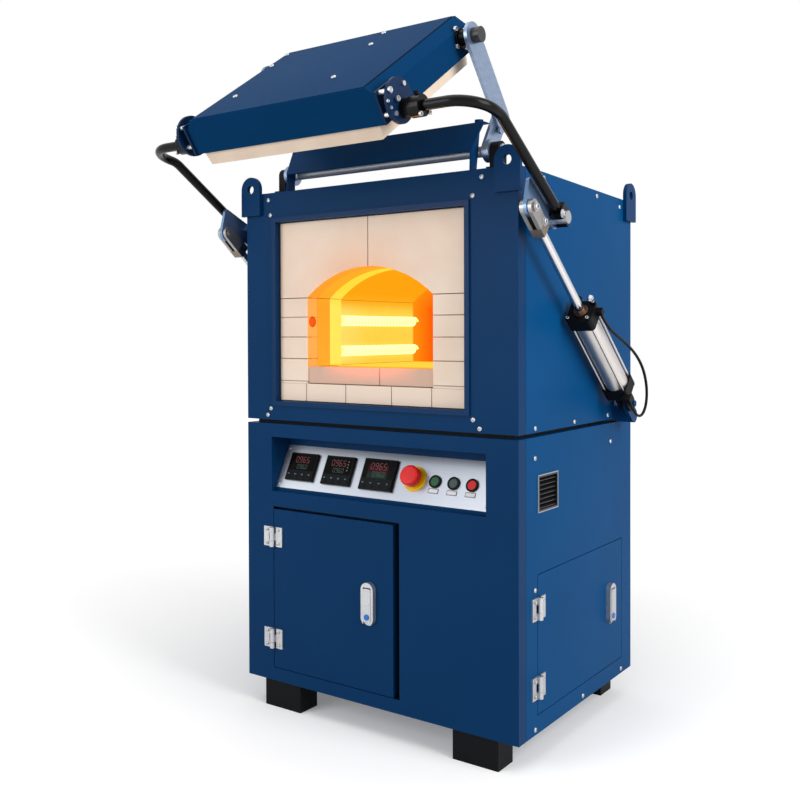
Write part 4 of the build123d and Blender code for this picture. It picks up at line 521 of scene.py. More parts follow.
bars("upper_digits", upper_bars, lit("red_digits", srgb(84, 14, 16), 0.5))
bars("lower_digits", lower_bars, lit("green_digits", srgb(14, 48, 32), 0.5))
bars("state_lamps", lamp_bars, lit("amber_lamps", srgb(130, 118, 92), 0.6))
bars("key_pictograms", legend_bars, moulded("pale_print", srgb(120, 150, 178), 0.5))

# Switches: a red mushroom head on a yellow ring, three round caps in black bezels, and blank white label
# plates with a dark edge, all moulded in gloss plastic.
wear(moulded("yellow_ring", srgb(255, 196, 20), 0.4, gloss=0.2), "stop_ring")
for title, colour, roughness, nodes in (
    ("red_head", srgb(222, 18, 14), 0.22, ("stop_head", "stop_button")),
    ("green_cap", srgb(6, 92, 50), 0.18, ("start_button",)),
    ("grey_cap", srgb(58, 74, 76), 0.25, ("centre_button",)),
):
    wear(moulded(title, colour, roughness, grain=300.0, depth=0.02, gloss=0.25), *nodes)
label = Finish("white_label", Roughness=0.35)
label_xs = (0.160, 0.2105, 0.260)
label_x = label.axis("X")
label_inner = label_x * 0.0
for middle in label_xs:
    label_inner = label_inner + label_x.within(middle - 0.0122, middle + 0.0122)
label_low, label_high = on_panel(0, 0.0293, 0.001).z, on_panel(0, 0.0377, 0.001).z
label_inner = label_inner * label.axis("Z").within(label_low, label_high)
label_white = label.mix(label.noise(90.0), srgb(226, 226, 226), srgb(208, 208, 210))
label.set("Base Color", label.mix(label_inner, srgb(16, 16, 18), label_white))
label.bump(label.noise(400.0), 0.03, 0.0002)
wear(label.material, "label_plates")

# Service doors: pan-shaped leaves on black stop frames with rubber seals, hung on die-cast zinc hinges and
# closed by zinc swing-handle locks with a blue release cap.
wear(satin_black, "door_frames")
rubber = moulded("black_rubber", srgb(12, 13, 15), 0.5, grain=700.0, depth=0.2, gloss=0.1)
wear(rubber, "door_seals")
wear(
    bright_zinc, "hinge_fixed_halves", "front_door_fittings", "side_door_fittings", "front_lock_lever",
    "side_lock_lever",
)
blue_release = moulded("blue_release", srgb(30, 110, 200), 0.25, grain=300.0, depth=0.02)
wear(blue_release, "front_lock_button", "side_lock_button")

hinge_thick, hinge_screw_rise, knuckle_radius, hinge_wing = 0.004, 0.0015, 0.0065, 0.024
hinge_screw_in = hinge_thick + hinge_screw_rise
screw_reach = knuckle_radius + hinge_wing / 2
hinge_sets = [
    ("front", "front_service_door", -0.3095, (0.155, 0.4155)),
    ("side", "side_service_door", 0.0875, (0.150, 0.325)),
]
for title, leaf_body, axis_place, lows in hinge_sets:
    for share, body in ((-1, "casing"), (1, leaf_body)):
        places = []
        for low in lows:
            for height in (low + 0.008, low + 0.042):
                across = axis_place + share * screw_reach
                if title == "front":
                    places.append(((across, -hinge_screw_in, height), to_front))
                else:
                    places.append(((half_width + hinge_screw_in, across, height), to_right))
        turned(title + "_hinge_screws_" + body, places, pan_head(0.0036), bright_zinc, body, sides=24)

# Firebrick front: dense insulating bricks, pale cream, faintly pitted, laid with dark hairline joints, with
# the arch's orange light painted onto the front round it (painted light), and with thin slips that level the
# columns. Their inner faces glow.
mouth_centre, mouth_half, mouth_sill, mouth_spring, mouth_rise = -0.017, 0.188, 0.878, 1.050, 0.071
column_seams = (0.8355, 0.8970, 0.9516, 1.0016, 1.0496)
bottom_seams = (-0.2089, -0.0834, 0.0541, 0.1676)
front_depth = 0.030
port_in, port_up = 0.033, 0.990


def painted_arch_light_of(brick):
    """Painted light: how much of the arch's orange light is painted on a point of the front, from 0 to 1, by
    its nearness to the glowing arch.
    """
    aside = abs(brick.axis("X") - mouth_centre + 0.03) / 0.21
    above = abs(brick.axis("Z") - mouth_spring - mouth_rise * 0.4) / 0.145
    return (1 - (aside * aside + above * above) ** 0.5).clamped() ** 1.4


def fired(name, joints):
    brick = Finish(name, Roughness=0.85, Specular_IOR_Level=0.1)
    blotch = brick.noise(9.0, detail=5.0).ramp(0.3, 0.75)
    plain = brick.mix(blotch, srgb(243, 224, 206), srgb(236, 212, 192))
    # Painted light: the front is tinted orange near the arch, where the muffle's glow falls on it.
    painted_arch_lit = brick.mix(painted_arch_light_of(brick) * 0.8, plain, srgb(250, 178, 132))
    depth, across, height = brick.axis("Y"), brick.axis("X"), brick.axis("Z")
    front = 1 - depth.ramp(front_depth, front_depth + 0.002)
    specks = brick.noise(320.0, detail=2.0).ramp(0.72, 0.78) * 0.5
    aged = brick.mix(specks, painted_arch_lit, srgb(150, 120, 96))
    reveal = 1 - (abs(across - mouth_centre) - mouth_half).ramp(-0.0002, 0.0008)
    under_arch = height.ramp(mouth_sill - 0.0012, mouth_sill - 0.0002) * (1 - height.ramp(1.1210, 1.1214))
    port_bore = ((depth - port_in) ** 2 + (height - port_up) ** 2) ** 0.5
    port_bore = port_bore.below(0.0143) * across.below(-0.2051)
    inside = (depth.ramp(0.0134, 0.0146) * reveal * under_arch + port_bore).clamped()
    seam = (front * joints(brick).clamped() * 0.85).clamped()
    lined = brick.mix(seam, aged, srgb(60, 38, 26))
    brick.set("Base Color", brick.mix(inside, lined, srgb(110, 60, 20)))
    glow = brick.mix(
        (across - mouth_centre).ramp(-0.19, 0.19), srgb(249, 160, 44), srgb(240, 84, 12),
    )
    soffit = height.ramp(mouth_spring - 0.02, mouth_spring + 0.06)
    glow = brick.mix(soffit * 0.6, glow, srgb(255, 176, 44))
    glow = brick.mix(seam * 0.75, glow, srgb(150, 70, 16))
    glow = brick.mix(port_bore, glow, srgb(236, 96, 20))
    brick.set("Emission Color", brick.mix(inside, (0, 0, 0, 1), glow))
    brick.shader.inputs["Emission Strength"].default_value = 0.85
    brick.bump(brick.noise(260.0, detail=3.0), 0.2, 0.0005)
    return brick


def column_joints(brick):
    lines = brick.axis("Z").line(column_seams[0], 0.0014)
    for seam in column_seams[1:]:
        lines = lines + brick.axis("Z").line(seam, 0.0014)
    return lines


def sill_joints(brick):
    height = brick.axis("Z")
    lower = height.within(0.70, 0.835)
    lines = brick.axis("Z").line(0.8355, 0.0014)
    for seam in bottom_seams:
        lines = lines + lower * brick.axis("X").line(seam, 0.0014)
    return lines + height.within(0.836, mouth_sill) * brick.axis("X").line(0.0164, 0.0012)


def arch_joints(brick):
    return brick.axis("X").line(-0.0146, 0.0016) + brick.axis("Z").line(mouth_spring, 0.0012)


wear(fired("column_firebrick", column_joints).material, "column_bricks")
wear(fired("arch_firebrick", arch_joints).material, "arch_bricks")


def slip_joints(brick):
    return brick.axis("Z").line(0.8406, 0.0010)


slip_face, slip_depth, slip_low, slip_high, slip_edge = 0.0130, 0.0400, 0.8350, 0.8402, 0.0004
slip_mesh = bpy.data.meshes.new("levelling_slips")
slip_shape = bmesh.new()
for slip_left, slip_right in ((-0.2958, -0.2060), (0.1720, 0.2658)):
    slip_loops = []
    for y, pull in ((slip_face, slip_edge), (slip_face + slip_edge, 0.0), (slip_face + slip_depth, 0.0)):
        slip_loops.append([
            slip_shape.verts.new((slip_left + pull, y, slip_low + pull)),
            slip_shape.verts.new((slip_right - pull, y, slip_low + pull)),
            slip_shape.verts.new((slip_right - pull, y, slip_high - pull)),
            slip_shape.verts.new((slip_left + pull, y, slip_high - pull)),
        ])
    slip_shape.faces.new(slip_loops[0])
    skinned(slip_shape, slip_loops)
    slip_shape.faces.new(slip_loops[-1][::-1])
bmesh.ops.recalc_face_normals(slip_shape, faces=slip_shape.faces)
slip_shape.to_mesh(slip_mesh)
slip_shape.free()
linked("levelling_slips", slip_mesh, fired("slip_firebrick", slip_joints).material, "casing")

# Sill: its two upper bricks are set back under the mouth and painted darker than the rest as painted shade,
# and an orange glow is painted on them, strongest at the top middle where the chamber's floor meets them:
# painted light.
sill = fired("sill_firebrick", sill_joints)
sill_up, sill_across, sill_in = sill.axis("Z"), sill.axis("X"), sill.axis("Y")
beyond_mouth = (abs(sill_across - mouth_centre) - mouth_half).ramp(-0.001, 0.0)
upper_sill = sill_up.ramp(0.8362, 0.8366) * (1 - beyond_mouth)
sill_middle = 1 - (abs(sill_across - mouth_centre) / 0.15).clamped() ** 2
lip = sill_up.ramp(0.836, mouth_sill) ** 1.2 * sill_middle
# Painted shade: the set-back upper sill bricks are painted darker than the rest.
sill_face = sill.mix(upper_sill, srgb(240, 220, 202), srgb(214, 180, 160))
sill_seam = sill.node("ShaderNodeMath", {"operation": "MINIMUM"}, {0: sill_joints(sill).clamped(), 1: 0.85})
sill_face = sill.mix(sill_seam, sill_face, srgb(60, 38, 26))
sill_floor = sill_in.ramp(0.0195, 0.0210) * sill_up.ramp(mouth_sill - 0.001, mouth_sill - 0.0004)
sill.set("Base Color", sill.mix(sill_floor, sill_face, srgb(110, 60, 20)))
# Painted light: orange glow painted on the upper sill face, rising towards its top and middle.
sill_painted_glow = sill.mix(upper_sill * lip * 0.75, (0, 0, 0, 1), srgb(255, 84, 20))
sill.set("Emission Color", sill.mix(sill_floor, sill_painted_glow, srgb(255, 150, 24)))
wear(sill.material, "sill_bricks")

# Lining and chamber: the deeper rings glow from orange to yellow, the side walls between the coils shine
# yellow, and the rear wall is the darkest, orange turning red at the right.
ring_starts = (0.053, 0.101)
chamber_half = 0.2124


def glowing(name):
    hot = Finish(name, Base_Color=srgb(80, 44, 16), Roughness=0.9, Specular_IOR_Level=0.0)
    across, depth, height = hot.axis("X"), hot.axis("Y"), hot.axis("Z")
    at_rings = 1 - depth.ramp(0.1485, 0.1495)
    left_share = 1 - (across - mouth_centre).ramp(-0.21, -0.15)
    first = hot.mix(height.ramp(0.88, 1.05), srgb(250, 172, 50), srgb(252, 162, 40))
    rings = hot.mix(depth.ramp(0.1005, 0.1015), first, srgb(255, 238, 96))
    near_coil = (height.line(0.914, 0.060) + height.line(0.994, 0.055)).clamped()
    wall = hot.mix(near_coil, srgb(252, 184, 36), srgb(255, 232, 92))
    wall = hot.mix((1 - depth.ramp(0.16, 0.30)) * near_coil * 0.6, wall, srgb(255, 246, 150))
    body = hot.mix(at_rings, wall, rings)
    ceiling = hot.mix(depth.ramp(0.1005, 0.1015), srgb(255, 174, 40), srgb(255, 226, 64))
    ceiling = hot.mix(1 - at_rings, ceiling, srgb(255, 164, 16))
    body = hot.mix(height.ramp(1.028, 1.070), body, ceiling)
    ground = hot.mix(depth.ramp(0.05, 0.16), srgb(252, 160, 36), srgb(255, 220, 70))
    body = hot.mix(1 - height.ramp(0.876, 0.884), body, ground)
    rear = hot.mix(across.ramp(-0.226, -0.150), srgb(255, 138, 12), srgb(255, 62, 2))
    rear = hot.mix(height.ramp(1.03, 1.09) * 0.7, rear, srgb(255, 150, 18))
    body = hot.mix(depth.ramp(0.512, 0.518), body, rear)
    right_wall = (across - mouth_centre).ramp(0.17, 0.185) * (1 - height.ramp(1.05, 1.08))
    body = hot.mix(right_wall * 0.75, body, srgb(244, 90, 10))
    seam = depth.line(ring_starts[0], 0.0013) + depth.line(ring_starts[1], 0.0013)
    seam = seam + height.line(mouth_spring, 0.0012) * at_rings
    body = hot.mix((seam * left_share).clamped() * 0.75, body, srgb(150, 66, 12))
    grain = hot.noise(40.0, detail=4.0).ramp(0.2, 0.8)
    body = hot.mix(grain * 0.1, body, srgb(255, 140, 20))
    seen_half = mouth_half + 0.0008 + (1 - at_rings) * (chamber_half - mouth_half + 0.001)
    opened = abs(across - mouth_centre).below(seen_half)
    hot.set("Emission Color", hot.mix(opened * height.ramp(0.8745, 0.8755), (0, 0, 0, 1), body))
    hot.shader.inputs["Emission Strength"].default_value = 0.97
    hot.bump(hot.noise(260.0, detail=3.0), 0.2, 0.0006)
    return hot.material


wear(glowing("glowing_firebrick"), "lining_rings", "muffle_chamber")

# Burner port: the small round hole in the left reveal glows a duller red than the brick round it.
port = Finish("port_glow", Base_Color=srgb(120, 30, 10), Roughness=0.9)
port.set("Emission Color", port.mix(port.noise(120.0), srgb(224, 62, 14), srgb(240, 96, 24)))
port.shader.inputs["Emission Strength"].default_value = 0.9
turned(
    "burner_port_plug", [((-0.2200, port_in, port_up), (1, 0, 0))],
    [(0.0135, 0.0), (0.0136, 0.004), (0.0110, 0.0062), (0.0060, 0.0050), (0.0020, 0.0046)],
    port.material, "casing", sides=32,
)

# Heating coils: wound resistance wire at working heat, yellow-white.
coil_heat = Finish("hot_coil", Base_Color=srgb(255, 220, 130), Roughness=0.6)
coil_tone = coil_heat.mix(coil_heat.noise(300.0), srgb(255, 250, 186), srgb(255, 244, 150))
coil_heat.set("Emission Color", coil_tone)
coil_heat.shader.inputs["Emission Strength"].default_value = 1.35
wear(coil_heat.material, "heating_coils")
core_radius, wire_reach = 0.0098, 0.0146
core_heat = Finish("hot_coil_former", Base_Color=srgb(255, 214, 110), Roughness=0.7)
core_turns = core_heat.node(
    "ShaderNodeTexWave", {"bands_direction": "Y"},
    {"Vector": core_heat.place(), "Scale": 22.0, "Distortion": 0.4},
)
core_heat.set("Emission Color", core_heat.mix(core_turns, srgb(255, 238, 120), srgb(255, 250, 176)))
core_heat.shader.inputs["Emission Strength"].default_value = 1.1
for side, share in (("left", -1), ("right", 1)):
    core_x = mouth_centre + share * (chamber_half - wire_reach)
    turned(
        side + "_coil_formers", [((core_x, 0.156, height), (0, 1, 0)) for height in (0.914, 0.994)],
        [
            (core_radius * 0.9, 0), (core_radius, 0.002), (core_radius, 0.340), (core_radius * 0.9, 0.343),
            (0.004, 0.3435),
        ],
        core_heat.material, "casing", sides=32,
    )

# Fibre board: the door's insulation and the packing behind the bricks, cream and soft-surfaced.
fibre = Finish("cream_fibre", Roughness=0.9, Specular_IOR_Level=0.1)
fibre_tone = fibre.noise(12.0, detail=5.0).ramp(0.3, 0.7)
fibre.set("Base Color", fibre.mix(fibre_tone, srgb(236, 216, 196), srgb(224, 202, 180)))
fibre.bump(fibre.noise(420.0, detail=4.0), 0.3, 0.0008)
wear(fibre.material, "door_insulation", "fibre_insulation")

# Cross beam gear: cast black bearing blocks carry the ground torque shaft, and satin steel flat bars with
# black end caps run up to the door's rear corners. The bars' blue-grey tint is a painted reflection of the
# blue casing.
wear(satin_black, "bearing_blocks")
shaft_steel = Finish("satin_shaft_steel", Metallic=0.35)
shaft_marks = shaft_steel.noise(5.0, detail=5.0, stretch=(3, 40, 40))
shaft_steel.set("Base Color", shaft_steel.mix(shaft_marks, srgb(150, 156, 168), srgb(186, 191, 200)))
shaft_steel.set("Roughness", 0.36 + shaft_marks * 0.1)
shaft_steel.bump(shaft_marks, 0.03, 0.0002)
wear(shaft_steel.material, "torque_shaft")
arm_steel = Finish("satin_bar_painted_reflection_and_cap")
arm_x = abs(arm_steel.axis("X"))
cap_mask = arm_x.above(0.3023) * arm_steel.axis("Z").above(1.52)
bar_marks = arm_steel.noise(6.0, detail=6.0, stretch=(8, 8, 30))
# Painted reflection: the bars' blue-grey colour stands for the blue casing reflected in them.
bar_painted_reflection = arm_steel.mix(bar_marks, srgb(112, 130, 158), srgb(150, 166, 190))
arm_steel.set("Base Color", arm_steel.mix(cap_mask, bar_painted_reflection, srgb(16, 16, 18)))
arm_steel.set("Metallic", 0.8 - cap_mask * 0.8)
arm_steel.set("Roughness", 0.34 + cap_mask * 0.06)
arm_steel.bump(arm_steel.noise(60.0, stretch=(1, 1, 0.1)), 0.04, 0.0002)
wear(arm_steel.material, "rear_arms")

# Door shell: a bevelled tray of blue sheet with a thin cover plate let into its outer face, which leaves a
# fine gap all round. Thin dark ropes along the plate's left and right edges stand for the shadow in that
# gap: painted shade.
blue_door = coated("blue_powder_coat_door", srgb(8, 52, 92), srgb(12, 60, 102), 0.3, 0.004)
wear(blue_door, "door_shell")
door_low = Vector((0, -0.338, 1.436))
door_slope = math.radians(34.5)
door_along = Vector((0, math.cos(door_slope), math.sin(door_slope)))
door_out = Vector((0, -door_along.z, door_along.y))


def on_door(x, along, out=0.0):
    return door_low + door_along * along + door_out * out + Vector((x, 0, 0))


cover_half, cover_start, cover_end, cover_rise, cover_round = 0.2405, 0.0035, 0.3965, 0.0018, 0.0007
cover_mesh = bpy.data.meshes.new("door_cover_plate")
cover = bmesh.new()
cover_loops = []
for out, pull in ((0.0, 0.0), (cover_rise - cover_round, 0.0), (cover_rise, cover_round)):
    low_edge, high_edge, half = cover_start + pull, cover_end - pull, cover_half - pull
    cover_loops.append([
        cover.verts.new(on_door(x, along, out))
        for x, along in ((-half, low_edge), (half, low_edge), (half, high_edge), (-half, high_edge))
    ])
skinned(cover, cover_loops)
cover.faces.new(cover_loops[-1])
cover.to_mesh(cover_mesh)
cover.free()
linked("door_cover_plate", cover_mesh, blue_door, "door")
# Painted shade: near-black ropes stand for the shadow in the groove beside the cover plate.
painted_gap_shadow = moulded("gap_shadow", srgb(6, 9, 16), 0.7, gloss=0.05)
for share in (-1, 1):
    x = share * (cover_half + 0.0016)
    roped(
        "door_groove_painted_shadow_%s" % ("left" if share < 0 else "right"),
        [on_door(x, along, 0.0002) for along in (0.004, 0.2, 0.396)], 0.0012, painted_gap_shadow, "door",
    )
door_screws = [
    (-0.232, 0.378), (-0.226, 0.303), (-0.190, 0.108), (0.099, 0.106), (0.075, 0.303), (0.065, 0.379),
]
turned(
    "door_screw_heads", [(on_door(x, along, cover_rise), door_out) for x, along in door_screws],
    pan_head(0.0062), bright_zinc, "door",
)

# Door hubs: a blue disc stands off the door's side on four bright posts, with a black cast boss for the arm
# tube. At the rear a black hub turns in the rear arm.
hub = Finish("hub_paints")
hub_x = abs(hub.axis("X"))
hub_z = hub.axis("Z")
hub_y = hub.axis("Y")
low_half = hub_y.below(-0.15)
disc = hub_x.within(0.2875, 0.2953) * low_half
posts = hub_x.within(0.2712, 0.2876) * low_half
pivot_y, pivot_z = -0.2746, 1.4019
from_pivot = ((hub_y - pivot_y) * (hub_y - pivot_y) + (hub_z - pivot_z) * (hub_z - pivot_z)) ** 0.5
post_heads = hub_x.within(0.2953, 0.3000) * from_pivot.ramp(0.0195, 0.0200) * low_half
bolt_metal = (posts + post_heads).clamped()
on_face = 1 - hub_x.ramp(0.258, 0.262)
base_plate = hub_x.within(0.2600, 0.2712)
hub_tone = hub.mix((disc + base_plate).clamped(), srgb(11, 11, 13), srgb(10, 38, 72))
hub.set("Base Color", hub.mix((bolt_metal + on_face).clamped(), hub_tone, srgb(196, 196, 200)))
hub.set("Metallic", (bolt_metal + on_face).clamped() * 0.9)
hub.set("Roughness", 0.34 + hub.noise(120.0) * 0.08)
hub.shader.inputs["Specular IOR Level"].default_value = 0.1
hub.bump(hub.noise(500.0), 0.08, 0.0002)
wear(hub.material, "door_hubs")
disc_bolts = [(0.0066, 0.0139), (0.016, 0.0367), (-0.0102, 0.0294), (-0.0079, 0.0445)]
disc_sizes = (0.0060, 0.0056, 0.0034, 0.0034)
for share, side in ((-1, "left"), (1, "right")):
    outward = (share, 0, 0)
    for index, ((along, inward), size) in enumerate(zip(disc_bolts, disc_sizes)):
        place = on_door(share * (0.2950 if index != 1 else 0.2990), along, -inward)
        bolt = socket_head(size, size * 0.9)
        turned("%s_disc_bolt_%d" % (side, index), [(place, outward)], bolt, bright_zinc, "door")
    rear = on_door(share * 0.2662, 0.358, -0.040)
    ring_places = []
    for step in range(4):
        angle = math.radians(20 + 90 * step)
        spot = rear + door_along * (0.0265 * math.cos(angle)) + door_out * (0.0265 * math.sin(angle))
        ring_places.append((spot, outward))
    turned(side + "_rear_hub_bolts", ring_places, socket_head(0.0055, 0.0060), bright_zinc, "door")
    turned(
        side + "_rear_hub_flange", [(rear, outward)],
        [(0.0215, 0), (0.0220, 0.0006), (0.0220, 0.0044), (0.0212, 0.0052), (0.0174, 0.0056)],
        satin_black, "door",
    )

# Front lift arms: bent steel tubes in gloss black, held in split clamps on the door and in square blocks on
# the cranks, each with its bright bolts.
tube_black = coated("tube_black_enamel", srgb(6, 6, 8), srgb(9, 9, 11), 0.18, 0.14)
wear(tube_black, "lift_arm_tubes")
for share, side in ((-1, "left"), (1, "right")):
    pivot = on_door(0, 0.033, -0.064)
    clamp_bolts = []
    for aside, rise in ((0.0195, -0.0105), (-0.0120, -0.0185)):
        spot = Vector((share * 0.3405, pivot.y + aside, pivot.z + rise))
        clamp_bolts.append((spot, (share, 0, 0)))
    turned(side + "_clamp_bolts", clamp_bolts, socket_head(0.0050, 0.0050), bright_zinc, "lift_arms")
    turned(
        side + "_clamp_stud", [((share * 0.328, pivot.y - 0.004, pivot.z + 0.0212), (0, -0.35, 1))],
        [(0.0052, 0), (0.0054, 0.0008), (0.0054, 0.0080), (0.0046, 0.0090), (0.0030, 0.0092)],
        satin_black, "lift_arms",
    )
    turned(
        side + "_block_bolt", [((share * 0.475, 0.0565, 1.2152), (share, 0, 0))],
        [
            (0.0095, 0), (0.0095, 0.0012), (0.0062, 0.0016), (0.0060, 0.0020), (0.0060, 0.0056),
            (0.0050, 0.0066), (hexagon_outline(0.0032), 0.0064), (hexagon_outline(0.0030), 0.0036),
        ],
        bright_zinc, "lift_arms",
    )

# Cranks: profiled plates in blue, each with a black knob. The plates are given a lighter, metallic blue that
# stands for the light and reflections falling along them: painted highlight.
crank = Finish("crank_paint_and_painted_highlight", Roughness=0.3)
crank_x = abs(crank.axis("X"))
knob = crank_x.above(0.4463)
# Painted highlight: the lighter metallic blue stands for light and reflections on the blue-painted plates.
plate_painted_highlight = crank.mix(crank.noise(8.0), srgb(84, 116, 158), srgb(128, 154, 188))
crank.set("Base Color", crank.mix(knob, plate_painted_highlight, srgb(12, 12, 14)))
crank.set("Metallic", 0.75 - knob * 0.75)
crank.bump(crank.noise(600.0), 0.05, 0.0002)
wear(crank.material, "crank_plates")
mount = Finish("mount_paint", Specular_IOR_Level=0.06)
mount_x = abs(mount.axis("X"))
mount_y = mount.axis("Y")
shaft_end = mount_x.above(0.4372) * mount_y.below(0.3)
mount_blue = mount.mix(mount.noise(9.0), srgb(6, 52, 96), srgb(9, 60, 106))
mount.set("Base Color", mount.mix(shaft_end, mount_blue, srgb(170, 172, 176)))
mount.set("Metallic", shaft_end * 0.9)
mount.set("Roughness", 0.32 + mount.noise(60.0) * 0.08)
mount.bump(mount.noise(700.0), 0.06, 0.0002)
wear(mount.material, "pivot_mounts")

# Cylinders: drawn aluminium barrels between black end heads, on bright tie rods, with chromed rods that end
# in satin nickel forks.
drawn = Finish("drawn_aluminium", Metallic=0.92)
drawn_marks = drawn.noise(5.0, detail=5.0, stretch=(60, 5, 5))
drawn.set("Base Color", drawn.mix(drawn_marks, srgb(190, 184, 179), srgb(212, 207, 203)))
drawn.set("Roughness", 0.3 + drawn_marks * 0.1)
drawn.bump(drawn_marks, 0.03, 0.0002)
wear(drawn.material, "left_cylinder_barrel", "right_cylinder_barrel")
wear(satin_black, "left_cylinder_heads", "right_cylinder_heads")
rod_finish = Finish("rod_and_fork", Metallic=0.95)
fork_pin = Vector((0.442, -0.033, 1.222))
rear_pin = Vector((0.442, 0.492, 0.782))
cylinder_way = (rear_pin - fork_pin).normalized()
rod_y, rod_z = rod_finish.axis("Y"), rod_finish.axis("Z")
along_rod = (rod_y - fork_pin.y) * cylinder_way.y + (rod_z - fork_pin.z) * cylinder_way.z
fork_share = 1 - along_rod.ramp(0.0725, 0.0735)
base_share = fork_share * along_rod.ramp(0.0495, 0.0500)
rod_tone = rod_finish.mix(fork_share, srgb(206, 204, 205), srgb(158, 156, 153))
rod_finish.set("Base Color", rod_finish.mix(base_share, rod_tone, srgb(128, 117, 106)))
rod_finish.set("Roughness", 0.14 + fork_share * 0.2)
rod_finish.bump(rod_finish.noise(90.0), 0.05, 0.0002)
wear(rod_finish.material, "left_cylinder_rod", "right_cylinder_rod")

# Hoses: black rubber air hose from the fitting on each front head, over the barrel, round the rear pin and
# back into the rear head. Its points are distances along the cylinder from the fork pin, and out from it.
hose_radius, hose_length = 0.0035, 0.52
hose_beside = 0.0375
hose_route = [
    (0.354, -0.0120), (0.395, -0.0120), (0.455, -0.0320), (0.520, -0.0580), (0.590, -0.0760),
    (0.645, -0.0760), (0.690, -0.0560), (0.714, -0.0220), (0.712, 0.0140), (0.688, 0.0370),
    (0.654, 0.0415), (0.620, 0.0415),
]
hose_down = Vector((0, cylinder_way.z, -cylinder_way.y))
for share, side in ((-1, "left"), (1, "right")):
    beside = Vector((share * (fork_pin.x + hose_beside), fork_pin.y, fork_pin.z))
    hose_points = [beside + cylinder_way * along + hose_down * out for along, out in hose_route]
    hose_curve = bpy.data.curves.new(side + "_air_hose", "CURVE")
    hose_curve.dimensions = "3D"
    hose_line = hose_curve.splines.new("NURBS")
    hose_line.points.add(len(hose_points) - 1)
    for point, place in zip(hose_line.points, hose_points):
        point.co = (*place, 1)
    hose_line.order_u = 3
    hose_line.use_endpoint_u = True
    hose_line.resolution_u = 12
    hose_curve.bevel_depth = hose_radius
    hose_curve.bevel_resolution = 4
    hose_curve.use_fill_caps = True
    hose = linked(side + "_air_hose", hose_curve, rubber, side + "_cylinder")
    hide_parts(side + "_cylinder_hose")

# Fittings of the cylinders: bronze wipers, zinc fork and tie-rod bolts, a plated elbow and a black flow
# valve on each.
bronze = brushed("bronze_bush", srgb(118, 82, 56), srgb(84, 58, 40), (60, 60, 60), 0.3)
head_start, head_half, tie_rod_off = 0.330, 0.0308, 0.024
for share, side in ((-1, "left"), (1, "right")):
    mirrored = Vector((share, 1, 1))
    entry = (fork_pin + cylinder_way * head_start) * mirrored
    way = cylinder_way * mirrored
    upward = Vector((0, -cylinder_way.z, cylinder_way.y))
    elbow_base = entry + way * 0.020 + upward * head_half
    turned(
        side + "_port_elbow", [(elbow_base, upward)],
        [
            (hexagon_outline(0.0072), 0), (hexagon_outline(0.0072), 0.0100), (0.0050, 0.0110),
            (0.0050, 0.0190), (hexagon_outline(0.0062), 0.0200), (hexagon_outline(0.0062), 0.0310),
            (0.0040, 0.0318),
        ],
        bright_zinc, side + "_cylinder",
    )
    valve_base = entry + way * 0.010 + upward * head_half - Vector((share * 0.022, 0, 0))
    turned(
        side + "_flow_valve", [(valve_base, upward)],
        [
            (hexagon_outline(0.0060), 0), (hexagon_outline(0.0060), 0.0070), (0.0070, 0.0080),
            (0.0074, 0.0200), (0.0030, 0.0208),
        ],
        satin_black, side + "_cylinder",
    )
    turned(
        side + "_rod_wiper", [(entry, -way)],
        [(0.0175, 0), (0.0178, 0.0008), (0.0172, 0.0030), (0.0140, 0.0036), (0.0103, 0.0030)], bronze,
        side + "_cylinder",
    )
    for index, (out, shift, rise) in enumerate(((0.459, 0.0, 0.0), (0.456, 0.0440, -0.0265))):
        spot = Vector((share * out, fork_pin.y + shift, fork_pin.z + rise))
        turned(
            "%s_fork_bolt_%d" % (side, index), [(spot, (share, 0, 0))],
            [(0.0098, 0), (0.0098, 0.0010), (0.0072, 0.0012)] + socket_head(0.0070, 0.0050)[1:], bright_zinc,
            side + "_rod",
        )
    nuts = []
    for sx in (-tie_rod_off, tie_rod_off):
        for su in (-tie_rod_off, tie_rod_off):
            corner = fork_pin + cylinder_way * head_start + Vector((sx, 0, 0)) + hose_down * su
            nuts.append((corner * mirrored, -way))
    turned(side + "_tie_rod_ends", nuts, socket_head(0.0042, 0.0074), bright_zinc, side + "_cylinder")


# Light and floor: a plain studio. A wide soft key from the right, a fill from the front left and one from
# above, over a white floor that keeps the furnace's shadow. The warm lamp is the muffle's own light.
def soft_light(name, place, aim, size, power, colour=(1, 1, 1)):
    data = bpy.data.lights.new(name, "AREA")
    data.shape = "RECTANGLE"
    data.size, data.size_y = size
    data.energy = power
    data.color = colour
    lamp = bpy.data.objects.new(name, data)
    bpy.context.scene.collection.objects.link(lamp)
    lamp.location = place
    lamp.rotation_euler = (Vector(aim) - Vector(place)).to_track_quat("-Z", "Y").to_euler()
    return lamp


soft_light("key", (3.2, -0.2, 2.0), (0.3, 0.3, 0.9), (1.6, 2.4), 90)
soft_light("fill", (-1.6, -3.4, 1.8), (0, 0, 0.9), (2.4, 2.4), 74)
soft_light("overhead", (0.2, -0.4, 3.4), (0, 0.2, 0.8), (2.6, 2.6), 26)
glow_data = bpy.data.lights.new("muffle_glow", "POINT")
glow_data.energy = 1.6
glow_data.shadow_soft_size = 0.06
glow_data.color = (1.0, 0.45, 0.12)
glow = bpy.data.objects.new("muffle_glow", glow_data)
bpy.context.scene.collection.objects.link(glow)
glow.location = (-0.017, 0.10, 0.97)

world = bpy.data.worlds.new("studio")
bpy.context.scene.world = world
world.use_nodes = True
sky = world.node_tree
background = sky.nodes["Background"]
background.inputs["Color"].default_value = (1, 1, 1, 1)
background.inputs["Strength"].default_value = 0.42
seen = sky.nodes.new("ShaderNodeBackground")
seen.inputs["Color"].default_value = (1, 1, 1, 1)
seen.inputs["Strength"].default_value = 1.0


